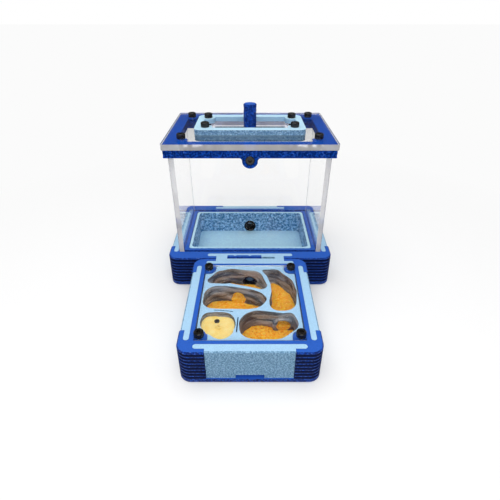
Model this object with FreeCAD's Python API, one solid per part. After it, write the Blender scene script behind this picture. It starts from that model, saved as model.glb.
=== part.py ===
import FreeCAD, Part
import math
import os

V = FreeCAD.Vector
UP = V(0, 0, 1)
BACK = V(0, 1, 0)

# Driving dimensions in millimetres. X to the right, Y to the back, Z up. The nest lies in front of
# Y = 0 and the foraging box behind it.

OUTWORLD_HALF_X = 75.0
OUTWORLD_Y = (0.8, 110.0)
NEST_HALF_X = 50.0
NEST_Y = (-110.0, -0.8)
BASE_HEIGHT = 31.0
BASE_CORNER = 9.0
BASE_EDGE = 0.9

RIB_GROOVES = 8
RIB_PITCH = 3.27
RIB_FIRST_Z = 5.35
RIB_GROOVE_OPEN = 2.3
RIB_DEPTH = 2.2
RIB_PROUD = 0.8

SLOT_FLOOR_Z = 4.2
SLOT_FACE_INSET = 3.2
BAR_THICK = 4.0
BAR_HALF_SHORT = 39.3
BAR_HALF_LONG = 43.9
PANEL_HALF_SHORT = 31.0
PANEL_HALF_LONG = 34.4
CLIP_GAP = 0.15
PRY_HALF = 10.2
PRY_HEIGHT = 3.4
PANEL_CHAMFER = 1.0

# How far a cutting shape runs past the face that it cuts.
CUT_OVER = 1.0
ROUND_END_SLACK = 0.01

TUNNEL_RADIUS = 6.0
TUNNEL_Z = 15.0
TUNNEL_REACH = 30.0

WALL_THICK = 4.0
BOX_HALF_X = 66.4
BOX_FRONT_Y = 11.5
BOX_BACK_Y = 99.5
WALL_BOTTOM_Z = 27.0
WALL_TOP_Z = 127.0
WALL_GROOVE_GAP = 0.2

TRAY_HALF_X = 58.6
TRAY_FRONT_Y = 18.7
TRAY_BACK_Y = 93.3
TRAY_WALL = 3.0
TRAY_BOTTOM_Z = 4.0
TRAY_FLOOR_Z = 8.0
TRAY_TOP_Z = 31.0
TRAY_CORNER = 3.0
TRAY_EDGE = 0.4
POCKET_GAP = 0.3

GROMMET_BORE = 4.75
GROMMET_FLANGE = 6.4
GROMMET_FLANGE_THICK = 1.3
GROMMET_EDGE = 0.5
GROMMET_FIT = 0.05
NEST_SLEEVE_BORE = 5.0
NEST_SLEEVE_FRONT_Y = -16.2
NEST_SLEEVE_SEAT_Y = -13.5

GATE_LEFT_X = -20.8
GATE_RIGHT_X = 10.5
GATE_TRAVEL = 12.0
GATE_FRONT_Y = 0.1
GATE_THICK = 2.4
GATE_BOTTOM_Z = 7.4
GATE_TOP_Z = 33.0
GATE_GAP = 0.2
GATE_CORNER = 1.0
GATE_NOTCH_X = (-13.8, -0.1)
GATE_NOTCH_HALF = 1.8
GATE_NOTCH_DEEP = 1.3

LID_HALF_X = 70.0
LID_FRONT_Y = 4.5
LID_BACK_Y = 106.5
LID_FRAME_INSET = 0.7
LID_FRAME_BOTTOM_Z = 123.8
LID_FRAME_TOP_Z = 130.25
LID_FRAME_BAR_SIDE = 10.0
LID_FRAME_BAR_END = 11.0
LID_PLATE_THICK = 4.75
LID_CORNER = 1.5
LID_MID_Y = 55.5
LID_SCREW_X = 55.8
LID_SCREW_HALF_Y = 34.8
LID_BOSS_RADIUS = 5.2
LID_BOSS_BOTTOM_Z = 121.9

LOCK_Z = 121.8
LOCK_BOSS_RADIUS = 6.5
LOCK_FILLET = 2.0
LOCK_BOSS_BACK_Y = 11.2
LOCK_HEAD_PROUD = 0.3
LOCK_HEAD_GAP = 0.1
LOCK_SINK_RADIUS = 3.8
LOCK_TIP_GAP = 0.05

RING_HALF_X = 47.0
RING_HALF_Y = 26.0
RING_CORNER = 6.5
RING_THICK = 4.0
RING_OPEN_X = 41.0
RING_OPEN_Y = 18.0
RING_OPEN_CORNER = 4.0
RING_LOBE_RADIUS = 6.0
RING_LOBE_REACH = 9.0
RING_SCREW_X = 38.0
RING_SCREW_HALF_Y = 15.4
RING_LEDGE = 1.8
RING_LEDGE_THICK = 1.4
RING_LEDGE_ROOT = 0.01

DOOR_GAP = 0.4
DOOR_RIM = 2.4
DOOR_RIM_THICK = 1.4
DOOR_HUB_RADIUS = 9.0
DOOR_SPOKE_HALF = 3.0
MESH_THICK = 0.8
KNOB_RADIUS = 5.75
KNOB_TOP_Z = 154.6
KNOB_EDGE = 0.8
KNOB_FOOT_RADIUS = 8.0
KNOB_FOOT_THICK = 2.0
KNOB_THREAD_DEEP = 9.0
KNOB_SCREW_HEAD = 3.8
KNOB_SCREW_HEAD_HEIGHT = 2.2
KNOB_SCREW_EDGE = 0.9
KNOB_SCREW_LENGTH = 10.0

SCREW_RADIUS = 2.0
SCREW_LENGTH = 12.0
SCREW_HOLE_RADIUS = 2.25
SCREW_HEAD_RADIUS = 3.5
SCREW_HEAD_HEIGHT = 4.0
SCREW_HEAD_EDGE = 0.4
SCREW_KEY_FLATS = 3.0
SCREW_KEY_DEEP = 2.0
PILOT_RADIUS = 2.05
PILOT_DEEP = 12.0

NEST_OPEN_X = 39.4
NEST_OPEN_HALF_Y = 44.6
NEST_MID_Y = -55.0
NEST_FLOOR_Z = 4.0
NEST_SCREW_X = 36.0
NEST_SCREW_HALF_Y = 39.8
NEST_POST_RADIUS = 5.7
NEST_POST_ROOT = 0.5
NEST_COVER_THICK = 3.0
NEST_COVER_GAP = 0.25
NEST_COVER_CORNER = 1.0
INSERT_GAP = 0.7
INSERT_POST_GAP = 0.5
INSERT_TOP_GAP = 0.1
CHAMBER_FLOOR_Z = 8.0
SAND_TOP_Z = 12.0
SAND_GAP = 0.1
CHAMBER_REACH = 20.0

# Each chamber is a chain of round hollows (centre X, centre Y, radius), joined by their tangents.
ENTRY_CHAMBER = (
    (-32.2, -30.3, 4.2), (-22.5, -25.5, 9.7), (-15.8, -24.0, 10.3), (0.1, -27.5, 11.4), (9.1, -36.7, 5.5))
RIGHT_CHAMBER = (
    (12.6, -16.8, 1.8), (20.9, -21.5, 7.1), (26.9, -34.0, 10.0), (27.8, -44.6, 10.5), (26.1, -57.1, 10.9),
    (23.1, -60.3, 7.8))
MIDDLE_CHAMBER = (
    (-25.9, -48.9, 11.6), (-28.9, -56.4, 8.9), (-21.6, -51.6, 14.2), (-2.3, -53.9, 12.3), (1.6, -54.4, 10.9),
    (8.0, -53.9, 5.5))
FRONT_CHAMBER = (
    (2.4, -86.2, 10.4), (6.6, -82.2, 14.9), (17.4, -83.0, 14.0), (26.1, -80.5, 10.1), (29.5, -74.6, 5.0))
RESERVOIR = (
    (-20.9, -87.8, 9.1), (-26.4, -79.9, 10.9), (-30.4, -75.4, 6.1), (-20.8, -78.8, 9.6), (-22.7, -82.4, 12.2))

# The passages between chambers: centre X and Y. Sand fills their lower part.
PASSAGE_LENGTH = 11.0
PASSAGE_RADIUS = 6.3
PASSAGE_Z = 16.3
PASSAGE_SAND_Z = 15.6
PASSAGE_SAND_HALF = 2.8
PASSAGE_COLLAR = 1.1
PASSAGE_COLLAR_END_Y = -72.3
ENTRY_TO_MIDDLE = (-9.5, -38.2)
RIGHT_TO_FRONT = (25.7, -69.6)

RESERVOIR_PLATE_TOP_Z = 24.0
DRIP_RING_AT = (-23.8, -82.0)
DRIP_RING_RADIUS = 2.3
DRIP_RING_WALL = 0.6
DRIP_RING_HEIGHT = 0.6
FILL_PORT_AT = (-24.3, -81.0)
FILL_PORT_RADIUS = 1.5
FILL_PORT_FIT = 0.02
FILL_PORT_RIM = 1.95
FILL_PORT_RIM_HEIGHT = 0.5
FILL_PORT_HOLE = 0.6

WICK_SLIT_WIDTH = 0.9
WICK_SLIT_DEEP = 9.0
WICK_SLITS = (
    ((-27.7, -67.15), (-20.4, -67.6), (-13.0, -68.7)),
    ((-9.0, -74.7), (-9.35, -82.4), (-9.7, -90.0)))


def box(x0, x1, y0, y1, z0, z1):
    return Part.makeBox(x1 - x0, y1 - y0, z1 - z0, V(x0, y0, z0))


def rod(radius, length, x, y, z, axis=UP):
    return Part.makeCylinder(radius, length, V(x, y, z), axis)


def vertical_edges(shape):
    edges = []
    for edge in shape.Edges:
        ends = [v.Point for v in edge.Vertexes]
        if len(ends) == 2 and abs(ends[0].x - ends[1].x) < 1e-6 and abs(ends[0].y - ends[1].y) < 1e-6:
            edges.append(edge)
    return edges


def level_edges(shape, z):
    return [e for e in shape.Edges if all(abs(v.Point.z - z) < 1e-6 for v in e.Vertexes)]


def rounded_block(half_x, y0, y1, z0, z1, corner):
    block = box(-half_x, half_x, y0, y1, z0, z1)
    return block.makeFillet(corner, vertical_edges(block))


def frame_turned(shape, turns, pivot):
    """A copy turned by quarter turns about the vertical through the pivot."""
    copy = shape.copy()
    copy.rotate(pivot, UP, 90.0 * turns)
    return copy


def on_side(shape, side, half_width, span):
    """Move a clip-shaped solid, drawn at the origin with its face on Y = 0 looking to -Y, to a side."""
    mid_y = (span[0] + span[1]) / 2
    seats = {
        "front": (0, V(0, span[0], 0)),
        "back": (2, V(0, span[1], 0)),
        "left": (3, V(-half_width, mid_y, 0)),
        "right": (1, V(half_width, mid_y, 0))}
    turns, seat = seats[side]
    placed = frame_turned(shape, turns, V(0, 0, 0))
    placed.translate(seat)
    return placed


def t_bar(bar_half, panel_half, gap, z0, z1):
    """The T in plan that a module's slot holds: a bar with round ends and the panel in front of it."""
    y0 = SLOT_FACE_INSET - gap
    y1 = SLOT_FACE_INSET + BAR_THICK + gap
    half = bar_half + gap
    bar = box(-half, half, y0, y1, z0, z1)
    bar = bar.makeFillet((y1 - y0) / 2 - ROUND_END_SLACK, vertical_edges(bar))
    panel = box(-panel_half - gap, panel_half + gap, 0, SLOT_FACE_INSET + BAR_THICK / 2, z0, z1)
    return bar.fuse(panel).removeSplitter()


def clip(bar_half, panel_half):
    body = t_bar(bar_half, panel_half, 0, SLOT_FLOOR_Z + CLIP_GAP, BASE_HEIGHT)
    front_top = [e for e in level_edges(body, BASE_HEIGHT) if all(abs(v.Point.y) < 1e-6 for v in e.Vertexes)]
    body = body.makeChamfer(PANEL_CHAMFER, front_top)
    pry = box(-PRY_HALF, PRY_HALF, 0, SLOT_FACE_INSET, 0, SLOT_FLOOR_Z + PRY_HEIGHT)
    return body.cut(pry)


def rib_groove(half_width, y0, y1):
    """A ring at Z = 0 that cuts one V-shaped groove round a base."""
    outside = RIB_DEPTH / 2
    mouth = RIB_GROOVE_OPEN / 2 * (1 + outside / RIB_DEPTH)
    rim = ((-outside, -mouth), (RIB_DEPTH, 0), (-outside, mouth))
    c = BASE_CORNER
    runs = (2 * (half_width - c), y1 - y0 - 2 * c)
    starts = ((V(-half_width + c, y0 + c, 0), 0), (V(half_width - c, y0 + c, 0), 1),
              (V(half_width - c, y1 - c, 0), 2), (V(-half_width + c, y1 - c, 0), 3))
    pieces = []
    for centre, turns in starts:
        points = [V(0, inset - c, z) for inset, z in rim]
        profile = Part.Face(Part.makePolygon(points + points[:1]))
        side = profile.extrude(V(runs[turns % 2], 0, 0))
        corner = profile.revolve(V(0, 0, 0), UP, -90)
        for piece in (side, corner):
            placed = frame_turned(piece, turns, V(0, 0, 0))
            placed.translate(centre)
            pieces.append(placed)
    return pieces[0].fuse(pieces[1:])


def ribbed_base(half_width, span):
    """The outer block of a module: foot and top plate with ribs between them, proud of the clips."""
    half = half_width + RIB_PROUD
    y0 = span[0] - RIB_PROUD
    y1 = span[1] + RIB_PROUD
    body = rounded_block(half, y0, y1, 0, BASE_HEIGHT, BASE_CORNER)
    for z in (0, BASE_HEIGHT):
        body = body.makeChamfer(BASE_EDGE, level_edges(body, z))
    groove = rib_groove(half, y0, y1)
    grooves = []
    for i in range(RIB_GROOVES):
        copy = groove.copy()
        copy.translate(V(0, 0, RIB_FIRST_Z + i * RIB_PITCH))
        grooves.append(copy)
    return body.cut(grooves)


def cut_slots(body, half_width, span):
    """Cut a T-slot, open at the top, into each side."""
    for side, bar_half, panel_half in slot_list():
        top = BASE_HEIGHT + CUT_OVER
        reach = panel_half + CLIP_GAP
        slot = t_bar(bar_half, panel_half, CLIP_GAP, SLOT_FLOOR_Z, top)
        lead = box(-reach, reach, -RIB_PROUD - CUT_OVER, SLOT_FACE_INSET, SLOT_FLOOR_Z, top)
        body = body.cut(on_side(slot.fuse(lead), side, half_width, span))
    return body


def slot_list():
    return (
        ("front", BAR_HALF_SHORT, PANEL_HALF_SHORT),
        ("back", BAR_HALF_SHORT, PANEL_HALF_SHORT),
        ("left", BAR_HALF_LONG, PANEL_HALF_LONG),
        ("right", BAR_HALF_LONG, PANEL_HALF_LONG))


def wall_groove(z0, z1):
    g = WALL_GROOVE_GAP
    outer = box(-BOX_HALF_X - g, BOX_HALF_X + g, BOX_FRONT_Y - g, BOX_BACK_Y + g, z0, z1)
    t = WALL_THICK + g
    inner = box(-BOX_HALF_X + t, BOX_HALF_X - t, BOX_FRONT_Y + t, BOX_BACK_Y - t, z0, z1)
    return outer.cut(inner)


def tunnel():
    """The straight way through the nest's back wall, the connector and both walls of the other module."""
    return rod(TUNNEL_RADIUS, OUTWORLD_Y[1] + TUNNEL_REACH, 0, -TUNNEL_REACH, TUNNEL_Z, BACK)


def outworld_base():
    body = ribbed_base(OUTWORLD_HALF_X, OUTWORLD_Y)
    body = cut_slots(body, OUTWORLD_HALF_X, OUTWORLD_Y)
    g = POCKET_GAP
    pocket = rounded_block(
        TRAY_HALF_X + g, TRAY_FRONT_Y - g, TRAY_BACK_Y + g, TRAY_BOTTOM_Z, BASE_HEIGHT, TRAY_CORNER + g)
    body = body.cut(pocket).cut(wall_groove(WALL_BOTTOM_Z, BASE_HEIGHT))
    return body.cut(tunnel())


def outworld_tray():
    outer = rounded_block(TRAY_HALF_X, TRAY_FRONT_Y, TRAY_BACK_Y, TRAY_BOTTOM_Z, TRAY_TOP_Z, TRAY_CORNER)
    w = TRAY_WALL
    hollow = rounded_block(
        TRAY_HALF_X - w, TRAY_FRONT_Y + w, TRAY_BACK_Y - w, TRAY_FLOOR_Z, TRAY_TOP_Z, TRAY_CORNER)
    tray = outer.cut(hollow)
    tray = tray.makeChamfer(TRAY_EDGE, level_edges(tray, TRAY_TOP_Z))
    return tray.cut(tunnel())


def port_grommet():
    """Black sleeve in the tray's back port: a flange inside the tray, the body out to the slot."""
    flange_y = TRAY_BACK_Y - TRAY_WALL
    slot_y = OUTWORLD_Y[1] - SLOT_FACE_INSET - BAR_THICK - CLIP_GAP
    front_y = flange_y - GROMMET_FLANGE_THICK
    flange = rod(GROMMET_FLANGE, GROMMET_FLANGE_THICK, 0, front_y, TUNNEL_Z, BACK)
    rim = [e for e in flange.Edges if all(abs(v.Point.y - front_y) < 1e-6 for v in e.Vertexes)]
    flange = flange.makeChamfer(GROMMET_EDGE, rim)
    body = rod(TUNNEL_RADIUS - GROMMET_FIT, slot_y - flange_y, 0, flange_y, TUNNEL_Z, BACK)
    bore = rod(GROMMET_BORE, slot_y, 0, 0, TUNNEL_Z, BACK)
    return flange.fuse(body).cut(bore)


def arena_front_wall():
    return box(-BOX_HALF_X, BOX_HALF_X, BOX_FRONT_Y, BOX_FRONT_Y + WALL_THICK, WALL_BOTTOM_Z, WALL_TOP_Z)


def arena_back_wall():
    return box(-BOX_HALF_X, BOX_HALF_X, BOX_BACK_Y - WALL_THICK, BOX_BACK_Y, WALL_BOTTOM_Z, WALL_TOP_Z)


def arena_side_wall(sign):
    inner = sign * (BOX_HALF_X - WALL_THICK)
    outer = sign * BOX_HALF_X
    return box(
        min(inner, outer), max(inner, outer), BOX_FRONT_Y + WALL_THICK, BOX_BACK_Y - WALL_THICK,
        WALL_BOTTOM_Z, WALL_TOP_Z)


def gate_slot():
    g = GATE_GAP
    return box(
        GATE_LEFT_X - g, GATE_RIGHT_X + GATE_TRAVEL + g, GATE_FRONT_Y - g, GATE_FRONT_Y + GATE_THICK + g,
        GATE_BOTTOM_Z - g, BASE_HEIGHT + CUT_OVER)


def module_connector():
    """I-shaped in plan: a bar in each module's slot, the web between them, the tunnel through all."""
    z0 = SLOT_FLOOR_Z + CLIP_GAP
    half = t_bar(BAR_HALF_SHORT, PANEL_HALF_SHORT, 0, z0, BASE_HEIGHT)
    back = on_side(half, "front", OUTWORLD_HALF_X, OUTWORLD_Y)
    front = on_side(half, "back", NEST_HALF_X, NEST_Y)
    web = box(-PANEL_HALF_SHORT, PANEL_HALF_SHORT, NEST_Y[1], OUTWORLD_Y[0], z0, BASE_HEIGHT)
    body = front.fuse([web, back]).removeSplitter()
    return body.cut(tunnel()).cut(gate_slot())


def gate_slider():
    back = GATE_FRONT_Y + GATE_THICK
    plate = box(GATE_LEFT_X, GATE_RIGHT_X, GATE_FRONT_Y, back, GATE_BOTTOM_Z, GATE_TOP_Z)
    plate = plate.makeFillet(GATE_CORNER, level_edges_along_y(plate, GATE_TOP_Z)).cut(tunnel())
    for x in GATE_NOTCH_X:
        corners = [
            V(x - GATE_NOTCH_HALF, back, BASE_HEIGHT), V(x + GATE_NOTCH_HALF, back, BASE_HEIGHT),
            V(x, back - GATE_NOTCH_DEEP, BASE_HEIGHT)]
        notch = Part.Face(Part.makePolygon(corners + corners[:1])).extrude(V(0, 0, GATE_TOP_Z))
        plate = plate.cut(notch)
    return plate


def level_edges_along_y(shape, z):
    """Short top edges of a plate: those that run front to back at height z."""
    picked = []
    for edge in level_edges(shape, z):
        ends = [v.Point for v in edge.Vertexes]
        if abs(ends[0].x - ends[1].x) < 1e-6:
            picked.append(edge)
    return picked


def screw_key(z_top):
    """The hexagonal key recess of a cap screw."""
    r = SCREW_KEY_FLATS / math.sqrt(3)
    corners = [V(r * math.cos(math.pi * i / 3), r * math.sin(math.pi * i / 3), z_top) for i in range(7)]
    return Part.Face(Part.makePolygon(corners)).extrude(V(0, 0, -SCREW_KEY_DEEP))


def cap_screw(length):
    """Cap screw drawn along Z: the head sits on Z = 0 and the shank points down."""
    head = rod(SCREW_HEAD_RADIUS, SCREW_HEAD_HEIGHT, 0, 0, 0)
    top = [e for e in level_edges(head, SCREW_HEAD_HEIGHT) if len(e.Vertexes) == 1]
    head = head.makeChamfer(SCREW_HEAD_EDGE, top)
    shank = rod(SCREW_RADIUS, length, 0, 0, -length)
    return head.fuse(shank).cut(screw_key(SCREW_HEAD_HEIGHT))


def screw_at(x, y, z):
    screw = cap_screw(SCREW_LENGTH)
    screw.translate(V(x, y, z))
    return screw


def corners(half_x, mid_y, half_y):
    """Names and places of the four corners of a screw pattern."""
    return {
        "front_left": (-half_x, mid_y - half_y), "front_right": (half_x, mid_y - half_y),
        "back_left": (-half_x, mid_y + half_y), "back_right": (half_x, mid_y + half_y)}


def lid_corners():
    return corners(LID_SCREW_X, LID_MID_Y, LID_SCREW_HALF_Y)


def ring_corners():
    return corners(RING_SCREW_X, LID_MID_Y, RING_SCREW_HALF_Y)


def nest_corners():
    return corners(NEST_SCREW_X, NEST_MID_Y, NEST_SCREW_HALF_Y)


def lock_boss(front_y):
    """Round boss under the front bar, blended into it, for the sunk screw that locks the lid to the wall."""
    length = LOCK_BOSS_BACK_Y - front_y
    boss = rod(LOCK_BOSS_RADIUS, length, 0, front_y, LOCK_Z, BACK)
    r = LOCK_BOSS_RADIUS + LOCK_FILLET
    drop = LOCK_Z - (LID_FRAME_BOTTOM_Z - LOCK_FILLET)
    reach = math.sqrt(r * r - drop * drop)
    low_z = LID_FRAME_BOTTOM_Z - LOCK_FILLET
    web = box(-reach, reach, front_y, LOCK_BOSS_BACK_Y, low_z, LID_FRAME_BOTTOM_Z + 1)
    for side in (-reach, reach):
        web = web.cut(rod(LOCK_FILLET, length, side, front_y, LID_FRAME_BOTTOM_Z - LOCK_FILLET, BACK))
    return boss.fuse(web)


def lid_frame():
    half_x = LID_HALF_X - LID_FRAME_INSET
    y0 = LID_FRONT_Y + LID_FRAME_INSET
    y1 = LID_BACK_Y - LID_FRAME_INSET
    frame = rounded_block(half_x, y0, y1, LID_FRAME_BOTTOM_Z, LID_FRAME_TOP_Z, LID_CORNER)
    frame = frame.fuse(lock_boss(y0))
    inner = box(
        -half_x + LID_FRAME_BAR_SIDE, half_x - LID_FRAME_BAR_SIDE, y0 + LID_FRAME_BAR_END, y1 - LID_FRAME_BAR_END,
        LID_FRAME_BOTTOM_Z, LID_FRAME_TOP_Z)
    frame = frame.cut(inner)
    for x, y in lid_corners().values():
        sx = math.copysign(1, x)
        sy = math.copysign(1, y - LID_MID_Y)
        boss = rod(LID_BOSS_RADIUS, LID_FRAME_TOP_Z - LID_BOSS_BOTTOM_Z, x, y, LID_BOSS_BOTTOM_Z)
        x_in = sx * (BOX_HALF_X - WALL_THICK - WALL_GROOVE_GAP)
        y_wall = BOX_FRONT_Y if sy < 0 else BOX_BACK_Y
        y_in = y_wall - sy * (WALL_THICK + WALL_GROOVE_GAP)
        filler = box(
            min(x, x_in), max(x, x_in), min(y - sy * LID_BOSS_RADIUS, y_in), max(y - sy * LID_BOSS_RADIUS, y_in),
            LID_BOSS_BOTTOM_Z, LID_FRAME_TOP_Z)
        web = box(
            min(x - sx * LID_BOSS_RADIUS, x), max(x - sx * LID_BOSS_RADIUS, x), min(y, y_in), max(y, y_in),
            LID_BOSS_BOTTOM_Z, LID_FRAME_TOP_Z)
        frame = frame.fuse([boss, filler, web])
    frame = frame.cut(wall_groove(LID_BOSS_BOTTOM_Z - CUT_OVER, WALL_TOP_Z + WALL_GROOVE_GAP))
    for x, y in lid_corners().values():
        frame = frame.cut(rod(PILOT_RADIUS, PILOT_DEEP, x, y, LID_FRAME_TOP_Z - PILOT_DEEP))
    sink = lock_seat_y() + LOCK_HEAD_GAP - y0
    frame = frame.cut(rod(PILOT_RADIUS, LOCK_BOSS_BACK_Y, 0, y0, LOCK_Z, BACK))
    frame = frame.cut(rod(LOCK_SINK_RADIUS, sink, 0, y0, LOCK_Z, BACK))
    return frame.removeSplitter()


def ring_opening(gap, z0, z1):
    """The hatch opening: a rounded rectangle with a lobe of material round each screw."""
    half_x = RING_OPEN_X - gap
    half_y = RING_OPEN_Y - gap
    opening = rounded_block(half_x, LID_MID_Y - half_y, LID_MID_Y + half_y, z0, z1, RING_OPEN_CORNER)
    for x, y in ring_corners().values():
        sx = math.copysign(1, x)
        sy = math.copysign(1, y - LID_MID_Y)
        r = RING_LOBE_RADIUS + gap
        lobe = rod(r, z1 - z0, x, y, z0)
        x_far = x + sx * RING_LOBE_REACH
        y_far = y + sy * RING_LOBE_REACH
        side = box(min(x, x_far), max(x, x_far), min(y - sy * r, y), max(y - sy * r, y), z0, z1)
        end = box(min(x - sx * r, x), max(x - sx * r, x), min(y, y_far), max(y, y_far), z0, z1)
        opening = opening.cut(lobe.fuse([side, end]))
    return opening


def lid_plate():
    z0 = LID_FRAME_TOP_Z
    z1 = z0 + LID_PLATE_THICK
    plate = rounded_block(LID_HALF_X, LID_FRONT_Y, LID_BACK_Y, z0, z1, LID_CORNER)
    plate = plate.cut(ring_opening(0, z0, z1))
    for x, y in list(lid_corners().values()) + list(ring_corners().values()):
        plate = plate.cut(rod(SCREW_HOLE_RADIUS, LID_PLATE_THICK, x, y, z0))
    return plate


def hatch_ring(z0, hole_radius):
    ring = rounded_block(
        RING_HALF_X, LID_MID_Y - RING_HALF_Y, LID_MID_Y + RING_HALF_Y, z0, z0 + RING_THICK, RING_CORNER)
    ring = ring.cut(ring_opening(0, z0, z0 + RING_THICK))
    for x, y in ring_corners().values():
        ring = ring.cut(rod(hole_radius, RING_THICK, x, y, z0))
    return ring


def hatch_ring_upper():
    return hatch_ring(LID_FRAME_TOP_Z + LID_PLATE_THICK, SCREW_HOLE_RADIUS)


def hatch_ring_lower():
    """The lower ring also carries the ledge that the door rests on."""
    z0 = LID_FRAME_TOP_Z - RING_THICK
    ring = hatch_ring(z0, PILOT_RADIUS)
    z1 = z0 + RING_LEDGE_THICK
    ledge = ring_opening(-RING_LEDGE_ROOT, z0, z1).cut(ring_opening(RING_LEDGE, z0, z1))
    for x, y in ring_corners().values():
        ledge = ledge.cut(rod(PILOT_RADIUS, RING_THICK, x, y, z0))
    return ring.fuse(ledge).removeSplitter()


def door_z():
    return LID_FRAME_TOP_Z - RING_THICK + RING_LEDGE_THICK


def hatch_frame():
    """The door's rim and the cross bar with the hub that carries the knob."""
    z0 = door_z()
    z1 = z0 + DOOR_RIM_THICK
    rim = ring_opening(DOOR_GAP, z0, z1).cut(ring_opening(DOOR_GAP + DOOR_RIM, z0, z1))
    span = RING_OPEN_Y - DOOR_GAP - DOOR_RIM / 2
    bar = box(-DOOR_SPOKE_HALF, DOOR_SPOKE_HALF, LID_MID_Y - span, LID_MID_Y + span, z0, z1)
    reach = RING_OPEN_X - DOOR_GAP - DOOR_RIM / 2
    cross = box(-reach, reach, LID_MID_Y - DOOR_SPOKE_HALF, LID_MID_Y + DOOR_SPOKE_HALF, z0, z1)
    hub = rod(DOOR_HUB_RADIUS, DOOR_RIM_THICK, 0, LID_MID_Y, z0)
    hole = rod(SCREW_HOLE_RADIUS, DOOR_RIM_THICK, 0, LID_MID_Y, z0)
    return rim.fuse([bar, cross, hub]).cut(hole).removeSplitter()


def hatch_mesh():
    z0 = door_z() + DOOR_RIM_THICK
    sheet = ring_opening(DOOR_GAP, z0, z0 + MESH_THICK)
    return sheet.cut(rod(SCREW_HOLE_RADIUS, MESH_THICK, 0, LID_MID_Y, z0))


def hatch_knob():
    """Turned knob with a wide foot, held from below by a screw."""
    z0 = door_z() + DOOR_RIM_THICK + MESH_THICK
    foot = KNOB_FOOT_THICK
    top = KNOB_TOP_Z - z0
    e = KNOB_EDGE
    r = KNOB_RADIUS
    rim = (
        V(0, 0, 0), V(KNOB_FOOT_RADIUS, 0, 0), V(KNOB_FOOT_RADIUS, 0, foot), V(r + e, 0, foot),
        V(r, 0, foot + e), V(r, 0, top - e), V(r - e, 0, top), V(0, 0, top), V(0, 0, 0))
    knob = Part.Face(Part.makePolygon(rim)).revolve(V(0, 0, 0), UP, 360)
    knob = knob.cut(rod(PILOT_RADIUS, KNOB_THREAD_DEEP, 0, 0, 0))
    knob.translate(V(0, LID_MID_Y, z0))
    return knob


def knob_screw():
    """Pan head screw from below, through the hub and the mesh into the knob."""
    z0 = door_z()
    head = rod(KNOB_SCREW_HEAD, KNOB_SCREW_HEAD_HEIGHT, 0, LID_MID_Y, z0 - KNOB_SCREW_HEAD_HEIGHT)
    head = head.makeChamfer(KNOB_SCREW_EDGE, level_edges(head, z0 - KNOB_SCREW_HEAD_HEIGHT))
    return head.fuse(rod(SCREW_RADIUS, KNOB_SCREW_LENGTH, 0, LID_MID_Y, z0))


def tangent_prism(a, b, grow, z0, z1):
    """Prism over two circles and the tangents that join them."""
    ax, ay, ar = a
    bx, by, br = b
    ar += grow
    br += grow
    span = math.hypot(bx - ax, by - ay)
    discs = rod(ar, z1 - z0, ax, ay, z0).fuse(rod(br, z1 - z0, bx, by, z0))
    if span <= abs(ar - br) + 1e-6:
        return discs
    heading = math.atan2(by - ay, bx - ax)
    lean = math.acos((ar - br) / span)
    points = []
    for x, y, r, turn in ((ax, ay, ar, lean), (bx, by, br, lean), (bx, by, br, -lean), (ax, ay, ar, -lean)):
        points.append(V(x + r * math.cos(heading + turn), y + r * math.sin(heading + turn), z0))
    bridge = Part.Face(Part.makePolygon(points + points[:1])).extrude(V(0, 0, z1 - z0))
    return discs.fuse(bridge)


def hollow(lobes, grow, z0, z1):
    """The space of a chamber between two heights."""
    space = tangent_prism(lobes[0], lobes[1], grow, z0, z1)
    for a, b in zip(lobes[1:], lobes[2:]):
        space = space.fuse(tangent_prism(a, b, grow, z0, z1))
    return space.removeSplitter()


def nest_posts(grow, z0, z1):
    """The four corner posts that take the cover screws, joined to the pocket's corners."""
    posts = []
    for x, y in nest_corners().values():
        sx = math.copysign(1, x)
        sy = math.copysign(1, y - NEST_MID_Y)
        r = NEST_POST_RADIUS + grow
        x_wall = sx * (NEST_OPEN_X + NEST_POST_ROOT)
        y_wall = NEST_MID_Y + sy * (NEST_OPEN_HALF_Y + NEST_POST_ROOT)
        post = rod(r, z1 - z0, x, y, z0)
        side = box(min(x, x_wall), max(x, x_wall), min(y - sy * r, y_wall), max(y - sy * r, y_wall), z0, z1)
        end = box(min(x - sx * r, x_wall), max(x - sx * r, x_wall), min(y, y_wall), max(y, y_wall), z0, z1)
        posts.append(post.fuse([side, end]))
    return posts[0].fuse(posts[1:])


def cover_bottom():
    return BASE_HEIGHT - NEST_COVER_THICK


def nest_base():
    body = ribbed_base(NEST_HALF_X, NEST_Y)
    body = cut_slots(body, NEST_HALF_X, NEST_Y)
    y0 = NEST_MID_Y - NEST_OPEN_HALF_Y
    y1 = NEST_MID_Y + NEST_OPEN_HALF_Y
    pocket = box(-NEST_OPEN_X, NEST_OPEN_X, y0, y1, NEST_FLOOR_Z, BASE_HEIGHT)
    pocket = pocket.cut(nest_posts(0, NEST_FLOOR_Z, cover_bottom()))
    body = body.cut(pocket)
    for x, y in nest_corners().values():
        body = body.cut(rod(PILOT_RADIUS, PILOT_DEEP, x, y, cover_bottom() - PILOT_DEEP))
    return body.cut(tunnel())


def passage(at):
    x, y = at
    return rod(PASSAGE_RADIUS, PASSAGE_LENGTH, x, y - PASSAGE_LENGTH / 2, PASSAGE_Z, BACK)


def passage_collar(grow):
    """The low collar round the front chamber's passage, out of the chamber's back wall."""
    x, y = RIGHT_TO_FRONT
    radius = PASSAGE_RADIUS + PASSAGE_COLLAR + grow
    return rod(radius, y - PASSAGE_COLLAR_END_Y + grow, x, PASSAGE_COLLAR_END_Y - grow, PASSAGE_Z, BACK)


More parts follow.
